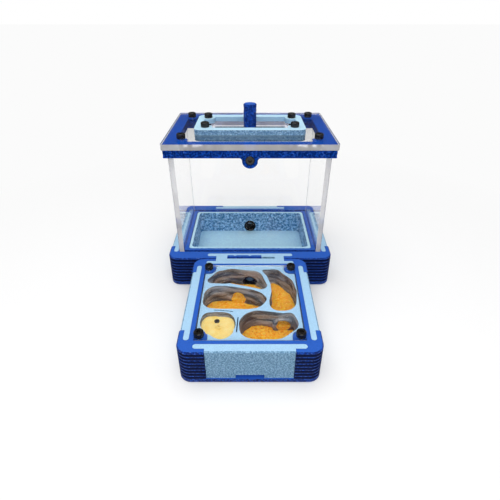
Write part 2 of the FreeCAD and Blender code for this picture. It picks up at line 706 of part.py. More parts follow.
def passage_sand(at, grow):
    """The sand in a passage, level on top."""
    x, y = at
    half = PASSAGE_SAND_HALF + grow
    fill = rod(PASSAGE_RADIUS - SAND_GAP + grow, 2 * half, x, y - half, PASSAGE_Z, BACK)
    above = box(x - CHAMBER_REACH, x + CHAMBER_REACH, y - half, y + half, PASSAGE_SAND_Z, BASE_HEIGHT)
    return fill.cut(above)


def wick_slit(points):
    """A thin curved slit, cut into the insert's top beside the reservoir."""
    start, middle, end = (V(x, y, cover_bottom() - WICK_SLIT_DEEP) for x, y in points)
    across = (end - start).cross(UP)
    across.normalize()
    half = across * (WICK_SLIT_WIDTH / 2)
    sides = [
        Part.Arc(start + half, middle + half, end + half),
        Part.Arc(end - half, middle - half, start - half)]
    ends = [Part.LineSegment(end + half, end - half), Part.LineSegment(start - half, start + half)]
    outline = Part.Wire([sides[0].toShape(), ends[0].toShape(), sides[1].toShape(), ends[1].toShape()])
    return Part.Face(outline).extrude(V(0, 0, WICK_SLIT_DEEP))


def nest_insert():
    top = cover_bottom() - INSERT_TOP_GAP
    g = INSERT_GAP
    y0 = NEST_MID_Y - NEST_OPEN_HALF_Y + g / 2
    y1 = NEST_MID_Y + NEST_OPEN_HALF_Y - g / 2
    block = box(-NEST_OPEN_X + g, NEST_OPEN_X - g, y0, y1, NEST_FLOOR_Z, top)
    block = block.cut(nest_posts(INSERT_POST_GAP, NEST_FLOOR_Z, top))
    for lobes in (ENTRY_CHAMBER, RIGHT_CHAMBER, MIDDLE_CHAMBER, FRONT_CHAMBER, RESERVOIR):
        block = block.cut(hollow(lobes, 0, CHAMBER_FLOOR_Z, top))
    block = block.fuse(passage_collar(0))
    for at in (ENTRY_TO_MIDDLE, RIGHT_TO_FRONT):
        block = block.cut(passage(at))
    block = block.cut(tunnel()).cut(sleeve_seat(GROMMET_FIT))
    for points in WICK_SLITS:
        block = block.cut(wick_slit(points))
    return block


def sleeve_seat(grow):
    """The round recess in the first chamber's back wall for the head of the nest's sleeve."""
    length = TUNNEL_REACH + NEST_SLEEVE_SEAT_Y
    return rod(GROMMET_FLANGE + grow, length, 0, -TUNNEL_REACH, TUNNEL_Z, BACK)


def nest_sleeve():
    """Black sleeve in the nest's port: a head in the first chamber, the body out to the slot."""
    slot_y = NEST_Y[1] - SLOT_FACE_INSET - BAR_THICK - CLIP_GAP
    front_y = NEST_SLEEVE_FRONT_Y
    head = rod(GROMMET_FLANGE, NEST_SLEEVE_SEAT_Y - front_y, 0, front_y, TUNNEL_Z, BACK)
    rim = [e for e in head.Edges if all(abs(v.Point.y - front_y) < 1e-6 for v in e.Vertexes)]
    head = head.makeChamfer(GROMMET_EDGE, rim)
    length = slot_y - NEST_SLEEVE_SEAT_Y
    body = rod(TUNNEL_RADIUS - GROMMET_FIT, length, 0, NEST_SLEEVE_SEAT_Y, TUNNEL_Z, BACK)
    bore = rod(NEST_SLEEVE_BORE, TUNNEL_REACH, 0, -TUNNEL_REACH, TUNNEL_Z, BACK)
    return head.fuse(body).cut(bore)


def sand_bed(lobes):
    return hollow(lobes, -SAND_GAP, CHAMBER_FLOOR_Z, SAND_TOP_Z)


def sand_beds():
    """The four beds. Two of them reach on into a passage, and the beds there make room for it."""
    entry = sand_bed(ENTRY_CHAMBER).cut(nest_sleeve_space())
    middle = sand_bed(MIDDLE_CHAMBER).cut(passage_sand(ENTRY_TO_MIDDLE, SAND_GAP))
    front = sand_bed(FRONT_CHAMBER).cut(passage_collar(SAND_GAP))
    front = front.cut(passage_sand(RIGHT_TO_FRONT, SAND_GAP))
    return {
        "sand_bed_entry": entry.fuse(passage_sand(ENTRY_TO_MIDDLE, 0)).removeSplitter(),
        "sand_bed_right": sand_bed(RIGHT_CHAMBER).fuse(passage_sand(RIGHT_TO_FRONT, 0)).removeSplitter(),
        "sand_bed_middle": middle,
        "sand_bed_front": front}


def nest_sleeve_space():
    return rod(GROMMET_FLANGE + SAND_GAP, TUNNEL_REACH, 0, NEST_SLEEVE_FRONT_Y - SAND_GAP, TUNNEL_Z, BACK)


def reservoir_plate():
    """The porous plate over the water, with a low drip ring under the fill port."""
    z1 = RESERVOIR_PLATE_TOP_Z
    plate = hollow(RESERVOIR, -SAND_GAP, CHAMBER_FLOOR_Z, z1)
    x, y = DRIP_RING_AT
    ring = rod(DRIP_RING_RADIUS, DRIP_RING_HEIGHT, x, y, z1)
    ring = ring.cut(rod(DRIP_RING_RADIUS - DRIP_RING_WALL, DRIP_RING_HEIGHT, x, y, z1))
    return plate.fuse(ring)


def fill_port_plug():
    """Small flanged steel plug with a fill hole, in the cover over the reservoir."""
    x, y = FILL_PORT_AT
    z0 = cover_bottom()
    body = rod(FILL_PORT_RADIUS - FILL_PORT_FIT, NEST_COVER_THICK, x, y, z0)
    rim = rod(FILL_PORT_RIM, FILL_PORT_RIM_HEIGHT, x, y, BASE_HEIGHT)
    return body.fuse(rim).cut(rod(FILL_PORT_HOLE, BASE_HEIGHT, x, y, z0))


def nest_cover():
    g = NEST_COVER_GAP
    y0 = NEST_MID_Y - NEST_OPEN_HALF_Y + g
    y1 = NEST_MID_Y + NEST_OPEN_HALF_Y - g
    sheet = rounded_block(NEST_OPEN_X - g, y0, y1, cover_bottom(), BASE_HEIGHT, NEST_COVER_CORNER)
    for x, y in nest_corners().values():
        sheet = sheet.cut(rod(SCREW_HOLE_RADIUS, NEST_COVER_THICK, x, y, cover_bottom()))
    x, y = FILL_PORT_AT
    return sheet.cut(rod(FILL_PORT_RADIUS, NEST_COVER_THICK, x, y, cover_bottom()))


def lock_seat_y():
    return LID_FRONT_Y + LID_FRAME_INSET - LOCK_HEAD_PROUD + SCREW_HEAD_HEIGHT


def lock_screw():
    """Cap screw sunk in the boss, its tip just off the front wall."""
    screw = cap_screw(BOX_FRONT_Y - LOCK_TIP_GAP - lock_seat_y())
    screw.rotate(V(0, 0, 0), V(1, 0, 0), 90)
    screw.translate(V(0, lock_seat_y(), LOCK_Z))
    return screw


def clips():
    short = clip(BAR_HALF_SHORT, PANEL_HALF_SHORT)
    long = clip(BAR_HALF_LONG, PANEL_HALF_LONG)
    outworld = (OUTWORLD_HALF_X, OUTWORLD_Y)
    nest = (NEST_HALF_X, NEST_Y)
    return {
        "outworld_clip_back": on_side(short, "back", *outworld),
        "outworld_clip_left": on_side(long, "left", *outworld),
        "outworld_clip_right": on_side(long, "right", *outworld),
        "nest_clip_front": on_side(short, "front", *nest),
        "nest_clip_left": on_side(long, "left", *nest),
        "nest_clip_right": on_side(long, "right", *nest)}


def cap_screws():
    parts = {}
    for name, (x, y) in lid_corners().items():
        parts["lid_screw_" + name] = screw_at(x, y, LID_FRAME_TOP_Z + LID_PLATE_THICK)
    for name, (x, y) in ring_corners().items():
        parts["hatch_screw_" + name] = screw_at(x, y, LID_FRAME_TOP_Z + LID_PLATE_THICK + RING_THICK)
    for name, (x, y) in nest_corners().items():
        parts["nest_screw_" + name] = screw_at(x, y, BASE_HEIGHT)
    return parts


def build():
    parts = {
        "outworld_base": outworld_base(),
        "outworld_tray": outworld_tray(),
        "port_grommet": port_grommet(),
        "arena_front_wall": arena_front_wall(),
        "arena_back_wall": arena_back_wall(),
        "arena_left_wall": arena_side_wall(-1),
        "arena_right_wall": arena_side_wall(1),
        "module_connector": module_connector(),
        "gate_slider": gate_slider(),
        "lid_frame": lid_frame(),
        "lid_plate": lid_plate(),
        "lock_screw": lock_screw(),
        "hatch_ring_upper": hatch_ring_upper(),
        "hatch_ring_lower": hatch_ring_lower(),
        "hatch_frame": hatch_frame(),
        "hatch_mesh": hatch_mesh(),
        "hatch_knob": hatch_knob(),
        "knob_screw": knob_screw(),
        "nest_base": nest_base(),
        "nest_insert": nest_insert(),
        "nest_sleeve": nest_sleeve(),
        "reservoir_plate": reservoir_plate(),
        "fill_port_plug": fill_port_plug(),
        "nest_cover": nest_cover()}
    parts.update(sand_beds())
    parts.update(clips())
    parts.update(cap_screws())
    return parts


def write(parts):
    os.makedirs("parts", exist_ok=True)
    for name, shape in parts.items():
        solids = shape.Solids
        if len(solids) != 1 or not shape.isValid():
            print("check", name, "solids", len(solids), "valid", shape.isValid())
        solid = solids[0] if len(solids) == 1 else shape
        solid.exportStep("parts/" + name + ".step")
        print(name, round(shape.Volume / 1000, 2), "cm3")


write(build())
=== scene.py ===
import bmesh
import bpy
import math
from mathutils import Matrix, Vector, noise
from mathutils.bvhtree import BVHTree


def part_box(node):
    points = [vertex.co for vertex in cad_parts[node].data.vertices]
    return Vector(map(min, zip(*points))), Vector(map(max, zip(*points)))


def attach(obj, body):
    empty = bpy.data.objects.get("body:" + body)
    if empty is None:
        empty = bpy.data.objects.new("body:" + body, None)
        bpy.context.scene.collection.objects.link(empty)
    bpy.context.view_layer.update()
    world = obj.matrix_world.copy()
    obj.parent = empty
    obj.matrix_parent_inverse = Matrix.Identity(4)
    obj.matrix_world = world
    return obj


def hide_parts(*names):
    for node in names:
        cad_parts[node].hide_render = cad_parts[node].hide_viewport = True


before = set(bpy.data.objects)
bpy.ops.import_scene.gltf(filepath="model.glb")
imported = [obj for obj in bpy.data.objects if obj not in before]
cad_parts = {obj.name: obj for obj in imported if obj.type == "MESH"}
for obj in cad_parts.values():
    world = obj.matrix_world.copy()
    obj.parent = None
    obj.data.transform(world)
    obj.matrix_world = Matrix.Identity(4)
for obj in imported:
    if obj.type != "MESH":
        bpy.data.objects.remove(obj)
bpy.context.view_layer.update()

MM = 0.001

# Camera: the photograph's frame is square
CAMERA_LENS = 26.55
CAMERA_SENSOR = 36.0
CAMERA_CLIP = (0.01, 50.0)
CAMERA_PITCH = math.radians(56.492)
CAMERA_AT = (0.0, -0.27802, 0.2244)

# Stage and light
WHITE = (1.0, 1.0, 1.0, 1.0)
FLOOR_HALF = 6.0
FLOOR_SEEN = 0.965
FLOOR_BOUNCE = 0.42
FLOOR_FADE = (0.04, 0.42)
SKY_LIGHT = 0.55
SKY_GLOSS = 0.05
SKY_GLOSS_HEIGHTS = (0.06, 0.20)
KEY_AT = (-0.12, -0.02, 1.0)
KEY_SIZE = 0.9
KEY_POWER = 4.3
FILL_AT = (0.06, -0.75, 0.72)
FILL_SIZE = 0.7
FILL_POWER = 3.6
AIM_AT = (0.0, 0.02, 0.03)

# Colours of the printed pieces, linear
BLUE = (0.022, 0.115, 0.54, 1.0)
BLUE_SIDE = (0.007, 0.085, 0.56, 1.0)
# The pits' colours, here and for the other prints, darken the hollows of fuzzy upright faces: painted
# shade.
BLUE_PIT_SHADE = (0.001, 0.014, 0.12, 1.0)
# The grooves' colours, here and for light blue, darken the flanks of rib grooves: painted shade.
BLUE_GROOVE_SHADE = (0.001, 0.008, 0.060, 1.0)
# Light specks on fuzzy upright faces, here and for the other prints: painted glints.
BLUE_GLINT = (0.16, 0.26, 0.62, 1.0)
LID_BLUE = (0.002, 0.090, 0.56, 1.0)
LID_PIT_SHADE = (0.001, 0.022, 0.17, 1.0)
LID_GLINT = (0.12, 0.25, 0.72, 1.0)
LIGHT_BLUE = (0.40, 0.65, 0.88, 1.0)
# Upright light blue faces darker than level ones: painted shade.
LIGHT_BLUE_SIDE_SHADE = (0.35, 0.60, 0.82, 1.0)
LIGHT_BLUE_PIT_SHADE = (0.13, 0.29, 0.49, 1.0)
LIGHT_BLUE_GROOVE_SHADE = (0.20, 0.38, 0.55, 1.0)
LIGHT_BLUE_GLINT = (0.52, 0.76, 0.94, 1.0)
# A brighter top for the upper hatch ring: painted highlight.
RING_TOP_HIGHLIGHT = (0.50, 0.76, 0.94, 1.0)
# The tray's colours are brighter than the other light blue prints, to make up for the shade under the
# lid: painted light. Its upright faces are darker than its floor: painted shade.
TRAY_BLUE_PAINTED_LIGHT = (0.51, 0.80, 1.0, 1.0)
TRAY_SIDE_PAINTED_LIGHT = (0.38, 0.69, 1.0, 1.0)
TRAY_PIT_SHADE = (0.05, 0.20, 0.44, 1.0)
# Darkening of the lower hatch ring under the lid plate: painted shade.
SHADE_OF_PLATE = 0.5

# Printed finishes: scale of the fuzz, depth of its bump, specular level
BASE_FINISH = (900.0, 0.35 * MM, 0.16)
LID_FINISH = (680.0, 0.5 * MM, 0.02)
KNOB_FINISH = (600.0, 0.5 * MM, 0.15)
PANEL_FINISH = (900.0, 0.3 * MM, 0.3)
RING_FINISH = (700.0, 0.4 * MM, 0.3)
SHADED_FINISH = (620.0, 0.4 * MM, 0.1)
TRAY_FINISH = (420.0, 0.7 * MM, 0.25)
PRINT_ROUGHNESS = 0.5
SIDE_BELOW = 0.76
# Normals of the rib groove flanks, which take painted shade.
GROOVE_ABOVE = 0.86
GROOVE_BELOW = 0.91
FUZZ_RANGE = (0.42, 0.60)
SPECKLE_RANGE = (0.30, 0.70)
# Range of the painted glints.
GLINT_RANGE = (0.58, 0.66)
LEVEL_FINER = 1.6
LEVEL_HEIGHT = 0.35
LEVEL_DARK = 0.90
LEVEL_BRIGHT = 1.10

# Clear sheets
SHEET_GAP = 0.03 * MM
EDGE_BAND = 1.6 * MM
ACROSS_SHEET = 0.5
ACRYLIC_IOR = 1.49
ACRYLIC_TINT = (0.4, 0.4, 0.4, 1.0)
SMEAR_SCALE = 22.0
SMEAR_RANGE = (0.55, 0.9)
SMEAR_ROUGHNESS = 0.03
EDGE_CLEARNESS = 0.55
EDGE_STREAKS = (60.0, 60.0, 25.0)
EDGE_RANGE = (0.40, 0.60)
EDGE_ROUGHNESS_RANGE = (0.25, 2.2)
EDGE_DARK = (0.84, 0.82, 0.83, 1.0)

# Small black and steel pieces
OXIDE_SCALE = 1500.0
OXIDE_RANGE = (0.4, 0.7)
OXIDE_ROUGHNESS_RANGE = (0.0, 2.4)
OXIDE_DARK = (0.006, 0.006, 0.006, 1.0)
OXIDE_BROWN = (0.024, 0.020, 0.017, 1.0)
RUBBER = (0.005, 0.005, 0.005, 1.0)
RUBBER_SPECULAR = 0.12
RUBBER_SCALE = 2400.0
RUBBER_ROUGHNESS_RANGE = (-1.2, 2.4)
STEEL_SCALE = 300.0
STEEL_DARK = (0.025, 0.024, 0.026, 1.0)
STEEL_WARM = (0.07, 0.058, 0.055, 1.0)
STEEL_ROUGHNESS = 0.55
STEEL_METALLIC = 0.2
BLACK_PRINT_SCALE = 2000.0
BLACK_PRINT_DARK = (0.012, 0.012, 0.014, 1.0)
BLACK_PRINT_LIGHT = (0.03, 0.03, 0.034, 1.0)
OXIDE_BUMP = 0.03 * MM
RUBBER_BUMP = 0.02 * MM
BLACK_PRINT_BUMP = 0.05 * MM

# Rock: colours given as low and high
ROCK_LAYERS = (55.0, 55.0, 230.0)
ROCK_TILT = (0.30, 0.35, 0.0)
ROCK_DISTORTION = 0.8
ROCK_GREY = ((0.095, 0.090, 0.090, 1.0), (0.40, 0.385, 0.385, 1.0))
ROCK_BROWN = ((0.11, 0.085, 0.070, 1.0), (0.38, 0.32, 0.28, 1.0))
ROCK_BLUE = ((0.080, 0.090, 0.110, 1.0), (0.34, 0.37, 0.43, 1.0))
ROCK_RANGE = (0.36, 0.62)
ROCK_BROWN_RANGE = (0.36, 0.64)
ROCK_TO_BROWN = (0.50, 0.56)
ROCK_TO_BLUE = (0.46, 0.40)
ROCK_BUMP = 0.4 * MM

# Sand and reservoir plate
SAND_CELLS = 950.0
SAND_DEEP = (1.0, 0.37, 0.008, 1.0)
SAND_PALE = (1.0, 0.74, 0.09, 1.0)
SAND_DARK = (0.80, 0.30, 0.01, 1.0)
SAND_DARK_ABOVE = 0.955
SAND_BUMP = 0.3 * MM
PLATE_GLOW_RADIUS = (4.0 * MM, 2.0 * MM, 1.0 * MM)
PLATE_SCALE = 260.0
PLATE_RANGE = (0.35, 0.7)
PLATE_DEEP = (0.98, 0.70, 0.20, 1.0)
PLATE_PALE = (1.0, 0.80, 0.32, 1.0)
PLATE_BUMP = 0.1 * MM

# Face directions, by the size of one part of the normal
LEVEL_FACE = 0.9
NEAR_LEVEL_FACE = 0.99
UPRIGHT_FACE = 0.3
RISING_FACE = 0.5

# Meshes
WELD_REACH = 0.001 * MM
REFINE_ROUNDS = 9

# Nest insert
INSERT_TOP_Z = 27.9 * MM
BED_MID_Z = 10.0 * MM
BED_REACH = 0.3 * MM
LEDGE_TOP_Z = 26.0 * MM
BORE_LOW_Z = 9.0 * MM
BORE_HIGH_Z = 21.5 * MM
BORE_ACROSS = 35.0 * MM
CARVE_STEP = 1.2 * MM
CARVE_DEPTH = 1.5 * MM
CARVE_MEAN = 0.5
CARVE_FOLDS = 0.55
CARVE_LUMPS = 0.3
CARVE_LUMP_SCALE = 150.0
CARVE_FOLD_ACROSS = 60.0
CARVE_FOLD_UP = 240.0
CARVE_FOLD_TILT = 0.3
CARVE_FRACTAL = (0.8, 2.1, 3)
CARVE_AT_RIM = 0.35
CARVE_RIM_FADE = 5.0 * MM

# Sand beds: lift in mm, tilt across, tilt along, swell in mm
SAND_SHAPES = {
    "sand_bed_entry": (0.2, 0.03, -0.05, 0.5),
    "sand_bed_right": (0.2, 0.0, 0.0, 0.6),
    "sand_bed_middle": (0.2, 0.0, -0.02, 0.7),
    "sand_bed_front": (0.3, 0.0, -0.02, 0.7)}
SAND_STEP = 0.8 * MM
SAND_UPPER_Z = 14.0 * MM
SAND_WAVES = 120.0
SAND_FRACTAL = (0.8, 2.0, 3)
SAND_RIPPLES = 2600.0
SAND_RIPPLE_HEIGHT = 0.16 * MM
GRAIN_RADIUS = 0.42 * MM
GRAINS_PER_MM2 = 3.0
GRAIN_SINK = 0.12 * MM
GRAIN_LEAST = (0.7, 0.7, 0.55)
GRAIN_MOST = (1.25, 1.1, 0.95)
GRAIN_TURNS = (6.28, 6.28, 6.28)
PASSAGE_SAND_LIFT = 0.9 * MM

# The cup round the passage into the front chamber
CUP_AT = (25.7 * MM, -71.9 * MM, 16.3 * MM)
CUP_RADIUS = 6.25 * MM
CUP_LIP = 1.2 * MM
CUP_LIP_END = 0.25
CUP_LIP_UNEVEN = 0.12
CUP_LIP_LUMPS = 3
CUP_STEPS = 40
CUP_SIDES = 14
CUP_REACH = math.radians(85)
CUP_DEPTH = 6.0 * MM
MOUTH_REACH = 11.0 * MM
TUNNEL_WALL_Y = -32.0 * MM

# Fuzzy printed faces
FUZZ_STEP = 1.0 * MM
FUZZ_MARGIN = 2.0 * MM
FUZZ_LUMPS = 520.0
FUZZ_FINE_LUMPS = 1100.0
FUZZ_DEPTH = 0.5 * MM
PANEL_FUZZ_DEPTH = 0.35 * MM
TRAY_FUZZ_DEPTH = 0.75 * MM

# Screws
HEAD_RADIUS = 3.5 * MM
HEAD_HEIGHT = 4.0 * MM
KNURL_RIBS = 34
KNURL_SIDES = 4
KNURL_RISE = 0.12 * MM
KNURL_LENGTH = 3.1 * MM

# Hatch weave
WEAVE_MID = (0.0, 55.5 * MM, 129.45 * MM)
WEAVE_PITCH = 1.0 * MM
WEAVE_WIRE = 0.21 * MM
WEAVE_WIRE_SIDES = 4
WEAVE_WAVE = 0.2 * MM
WEAVE_HALF_X = 40.3 * MM
WEAVE_HALF_Y = 17.3 * MM
WEAVE_LOBE_X = 38.0 * MM
WEAVE_LOBE_Y = 15.4 * MM
WEAVE_LOBE_RADIUS = 6.6 * MM

# Pieces by the body that they ride on
FUZZY_PANELS = {
    "outworld_clip_back": "back_clip", "outworld_clip_left": "left_clip",
    "outworld_clip_right": "right_clip", "nest_clip_front": "nest_front_clip",
    "nest_clip_left": "nest_left_clip", "nest_clip_right": "nest_right_clip"}
SHEETS = {
    "arena_front_wall": "habitat", "arena_back_wall": "habitat", "arena_left_wall": "habitat",
    "arena_right_wall": "habitat", "nest_cover": "habitat", "lid_plate": "lid"}


def add(tree, kind, inputs=None, **settings):
    """A node with its settings made and its inputs set or linked."""
    node = tree.nodes.new(kind)
    for key, value in settings.items():
        setattr(node, key, value)
    for key, value in (inputs or {}).items():
        socket = node.inputs[key]
        if isinstance(value, bpy.types.NodeSocket):
            tree.links.new(value, socket)
        else:
            socket.default_value = value
    return node


def group_tree(name, inputs, outputs):
    """An empty shader group with named number inputs and named number outputs."""
    tree = bpy.data.node_groups.new(name, "ShaderNodeTree")
    for label, value in inputs.items():
        socket = tree.interface.new_socket(label, in_out="INPUT", socket_type="NodeSocketFloat")
        socket.default_value = value
    for label in outputs:
        tree.interface.new_socket(label, in_out="OUTPUT", socket_type="NodeSocketFloat")
    return tree, tree.nodes.new("NodeGroupInput"), tree.nodes.new("NodeGroupOutput")


def use_group(tree, group, inputs):
    """A group node with its inputs set."""
    node = tree.nodes.new("ShaderNodeGroup")
    node.node_tree = group
    for key, value in inputs.items():
        node.inputs[key].default_value = value
    return node


def maths(tree, operation, a, b=0.0, clamp=False):
    """The result of a sum on one or two values."""
    return add(tree, "ShaderNodeMath", {0: a, 1: b}, operation=operation, use_clamp=clamp).outputs[0]


def either(tree, share, a, b):
    """The first number where the share is 0, the second where it is 1."""
    return add(tree, "ShaderNodeMix", {0: share, 2: a, 3: b}).outputs[0]


def blend(tree, factor, a, b):
    """Mix of two colours."""
    node = add(tree, "ShaderNodeMix", data_type="RGBA")
    for index, value in ((0, factor), (6, a), (7, b)):
        if isinstance(value, bpy.types.NodeSocket):
            tree.links.new(value, node.inputs[index])
        else:
            node.inputs[index].default_value = value
    return node.outputs[2]


def ramp(tree, value, low, high):
    """The value stretched so that low goes to 0 and high to 1."""
    node = add(tree, "ShaderNodeMapRange", {"Value": value, "From Min": low, "From Max": high})
    return node.outputs["Result"]


def object_place(tree):
    """The point on the piece, in its own coordinates."""
    return add(tree, "ShaderNodeTexCoord").outputs["Object"]


def noise_value(tree, vector, scale, detail, **more):
    """Noise over a surface; more gives the node's other inputs by name."""
    inputs = {"Vector": vector, "Scale": scale, "Detail": detail}
    inputs.update(more)
    return add(tree, "ShaderNodeTexNoise", inputs).outputs["Fac"]


def surface(name, base=(0.8, 0.8, 0.8, 1.0), roughness=0.5, **sockets):
    """A material with a Principled shader and the given plain socket values."""
    material = bpy.data.materials.new(name)
    material.use_nodes = True
    tree = material.node_tree
    tree.nodes.clear()
    shader = add(tree, "ShaderNodeBsdfPrincipled", {"Base Color": base, "Roughness": roughness})
    for label, value in sockets.items():
        shader.inputs[label.replace("_", " ")].default_value = value
    out = tree.nodes.new("ShaderNodeOutputMaterial")
    tree.links.new(shader.outputs[0], out.inputs[0])
    return material, tree, shader


def output_of(tree):
    return next(n for n in tree.nodes if n.type == "OUTPUT_MATERIAL")


def seen_share(tree, rays):
    """1 for the rays that show a white background to the eye, directly, in gloss or through glass."""
    seen = maths(tree, "ADD", rays.outputs["Is Camera Ray"], rays.outputs["Is Glossy Ray"])
    return maths(tree, "ADD", seen, rays.outputs["Is Transmission Ray"], clamp=True)


def bump(tree, shader, height, distance):
    node = add(tree, "ShaderNodeBump", {"Height": height, "Distance": distance, "Strength": 1.0})
    tree.links.new(node.outputs[0], shader.inputs["Normal"])


def printed_skin_group():
    """Printed plastic: fuzzy side walls with painted glints and painted shade in their pits, painted
    shade on the flanks of grooves, speckled level faces.
    """
    tree, given, out = group_tree(
        "printed_skin", {"Fuzz Scale": 1000.0, "Level Scale": 1500.0, "Rough Sides": 1.0},
        ("Side", "Groove Shade", "Fuzz", "Glint", "Height"))
    place = object_place(tree)
    normal = add(tree, "ShaderNodeNewGeometry").outputs["True Normal"]
    upright = maths(tree, "ABSOLUTE", add(tree, "ShaderNodeSeparateXYZ", {0: normal}).outputs[2])
    steep = maths(tree, "LESS_THAN", upright, SIDE_BELOW)
    side = maths(tree, "MULTIPLY", steep, given.outputs["Rough Sides"])
    above = maths(tree, "GREATER_THAN", upright, GROOVE_ABOVE)
    below = maths(tree, "LESS_THAN", upright, GROOVE_BELOW)
    coarse = noise_value(tree, place, given.outputs["Fuzz Scale"], 3.0, Roughness=0.6)
    fine = noise_value(tree, place, given.outputs["Level Scale"], 3.0)
    fuzz = ramp(tree, coarse, *FUZZ_RANGE)
    level = maths(tree, "MULTIPLY", fine, LEVEL_HEIGHT)
    speckle = ramp(tree, fine, *SPECKLE_RANGE)
    # Light specks on fuzzy faces, for painted glints.
    glints = maths(tree, "MULTIPLY", ramp(tree, fine, *GLINT_RANGE), fuzz)
    tree.links.new(side, out.inputs["Side"])
    # Rib groove flanks, for painted shade.
    tree.links.new(maths(tree, "MULTIPLY", above, below), out.inputs["Groove Shade"])
    tree.links.new(either(tree, side, speckle, fuzz), out.inputs["Fuzz"])
    tree.links.new(maths(tree, "MULTIPLY", glints, side), out.inputs["Glint"])
    tree.links.new(either(tree, side, level, fuzz), out.inputs["Height"])
    return tree


def printed_material(name, skin, colours, finish, rough_sides=1.0):
    """Printed plastic in colours given as top, side, shade of the pits, shade of the grooves and glint.
    The pits' and grooves' colours are painted shade, the glint colour is painted highlights, and a side
    darker than the top is painted shade.
    """
    top, side, pit_shade, groove_shade, glint = colours
    fuzz_scale, depth, specular = finish
    material, tree, shader = surface(name, roughness=PRINT_ROUGHNESS, Specular_IOR_Level=specular)
    skin_node = use_group(tree, skin, {
        "Fuzz Scale": fuzz_scale, "Level Scale": fuzz_scale * LEVEL_FINER, "Rough Sides": rough_sides})
    # Fuzzy upright faces: painted shade in the pits, then painted glints on light specks.
    rough_side = blend(tree, skin_node.outputs["Fuzz"], pit_shade, side)
    rough_side = blend(tree, skin_node.outputs["Glint"], rough_side, glint)
    dark = tuple(c * LEVEL_DARK for c in top[:3]) + (1.0,)
    bright = tuple(min(c * LEVEL_BRIGHT, 1.0) for c in top[:3]) + (1.0,)
    smooth_top = blend(tree, skin_node.outputs["Fuzz"], dark, bright)
    # Painted shade on the flanks of rib grooves.
    smooth_top = blend(tree, skin_node.outputs["Groove Shade"], smooth_top, groove_shade)
    # Upright faces take the side colours; a side darker than the top is painted shade.
    colour = blend(tree, skin_node.outputs["Side"], smooth_top, rough_side)
    tree.links.new(colour, shader.inputs["Base Color"])
    bump(tree, shader, skin_node.outputs["Height"], depth)
    return material


def let_through(tree, shader):
    """Lamp light and bounced light pass straight through clear sheet, and the eye sees it bend."""
    rays = add(tree, "ShaderNodeLightPath")
    clear = tree.nodes.new("ShaderNodeBsdfTransparent")
    shown = shader.outputs[0]
    for label in ("Is Diffuse Ray", "Is Shadow Ray"):
        mix = add(tree, "ShaderNodeMixShader", {0: rays.outputs[label]})
        tree.links.new(shown, mix.inputs[1])
        tree.links.new(clear.outputs[0], mix.inputs[2])
        shown = mix.outputs[0]
    tree.links.new(shown, output_of(tree).inputs[0])


def acrylic_material():
    """Polished clear sheet with faint wiping marks."""
    material, tree, shader = surface(
        "acrylic_polished", WHITE, 0.0, IOR=ACRYLIC_IOR, Transmission_Weight=1.0,
        Specular_Tint=ACRYLIC_TINT)
    smear = ramp(tree, noise_value(tree, object_place(tree), SMEAR_SCALE, 4.0), *SMEAR_RANGE)
    tree.links.new(maths(tree, "MULTIPLY", smear, SMEAR_ROUGHNESS), shader.inputs["Roughness"])
    let_through(tree, shader)
    return material


def acrylic_edge_material():
    """The saw-cut edge of clear sheet: lightly frosted, with fine cutting lines."""
    material, tree, shader = surface(
        "acrylic_cut_edge", WHITE, IOR=ACRYLIC_IOR, Transmission_Weight=EDGE_CLEARNESS)
    streaks = add(tree, "ShaderNodeMapping", {"Vector": object_place(tree), "Scale": EDGE_STREAKS})
    lines = noise_value(tree, streaks.outputs[0], 1.0, 5.0)
    tone = blend(tree, ramp(tree, lines, *EDGE_RANGE), EDGE_DARK, WHITE)
    tree.links.new(tone, shader.inputs["Base Color"])
    tree.links.new(ramp(tree, lines, *EDGE_ROUGHNESS_RANGE), shader.inputs["Roughness"])
    return material


def black_oxide_material():
    """Blackened steel with a trace of brown."""
    material, tree, shader = surface("black_oxide")
    spots = noise_value(tree, object_place(tree), OXIDE_SCALE, 3.0)
    tone = blend(tree, ramp(tree, spots, *OXIDE_RANGE), OXIDE_DARK, OXIDE_BROWN)
    tree.links.new(tone, shader.inputs["Base Color"])
    tree.links.new(ramp(tree, spots, *OXIDE_ROUGHNESS_RANGE), shader.inputs["Roughness"])
    bump(tree, shader, spots, OXIDE_BUMP)
    return material


def rubber_material():
    material, tree, shader = surface("black_rubber", RUBBER, Specular_IOR_Level=RUBBER_SPECULAR)
    grain = noise_value(tree, object_place(tree), RUBBER_SCALE, 2.0)
    tree.links.new(ramp(tree, grain, *RUBBER_ROUGHNESS_RANGE), shader.inputs["Roughness"])
    bump(tree, shader, grain, RUBBER_BUMP)
    return material


def mesh_material():
    material, tree, shader = surface(
        "woven_steel", roughness=STEEL_ROUGHNESS, Metallic=STEEL_METALLIC)
    tint = noise_value(tree, object_place(tree), STEEL_SCALE, 2.0)
    tree.links.new(blend(tree, tint, STEEL_DARK, STEEL_WARM), shader.inputs["Base Color"])
    return material


def printed_black_material():
    material, tree, shader = surface("printed_black", roughness=0.6)
    grain = noise_value(tree, object_place(tree), BLACK_PRINT_SCALE, 2.0)
    colour = blend(tree, grain, BLACK_PRINT_DARK, BLACK_PRINT_LIGHT)
    tree.links.new(colour, shader.inputs["Base Color"])
    bump(tree, shader, grain, BLACK_PRINT_BUMP)
    return material


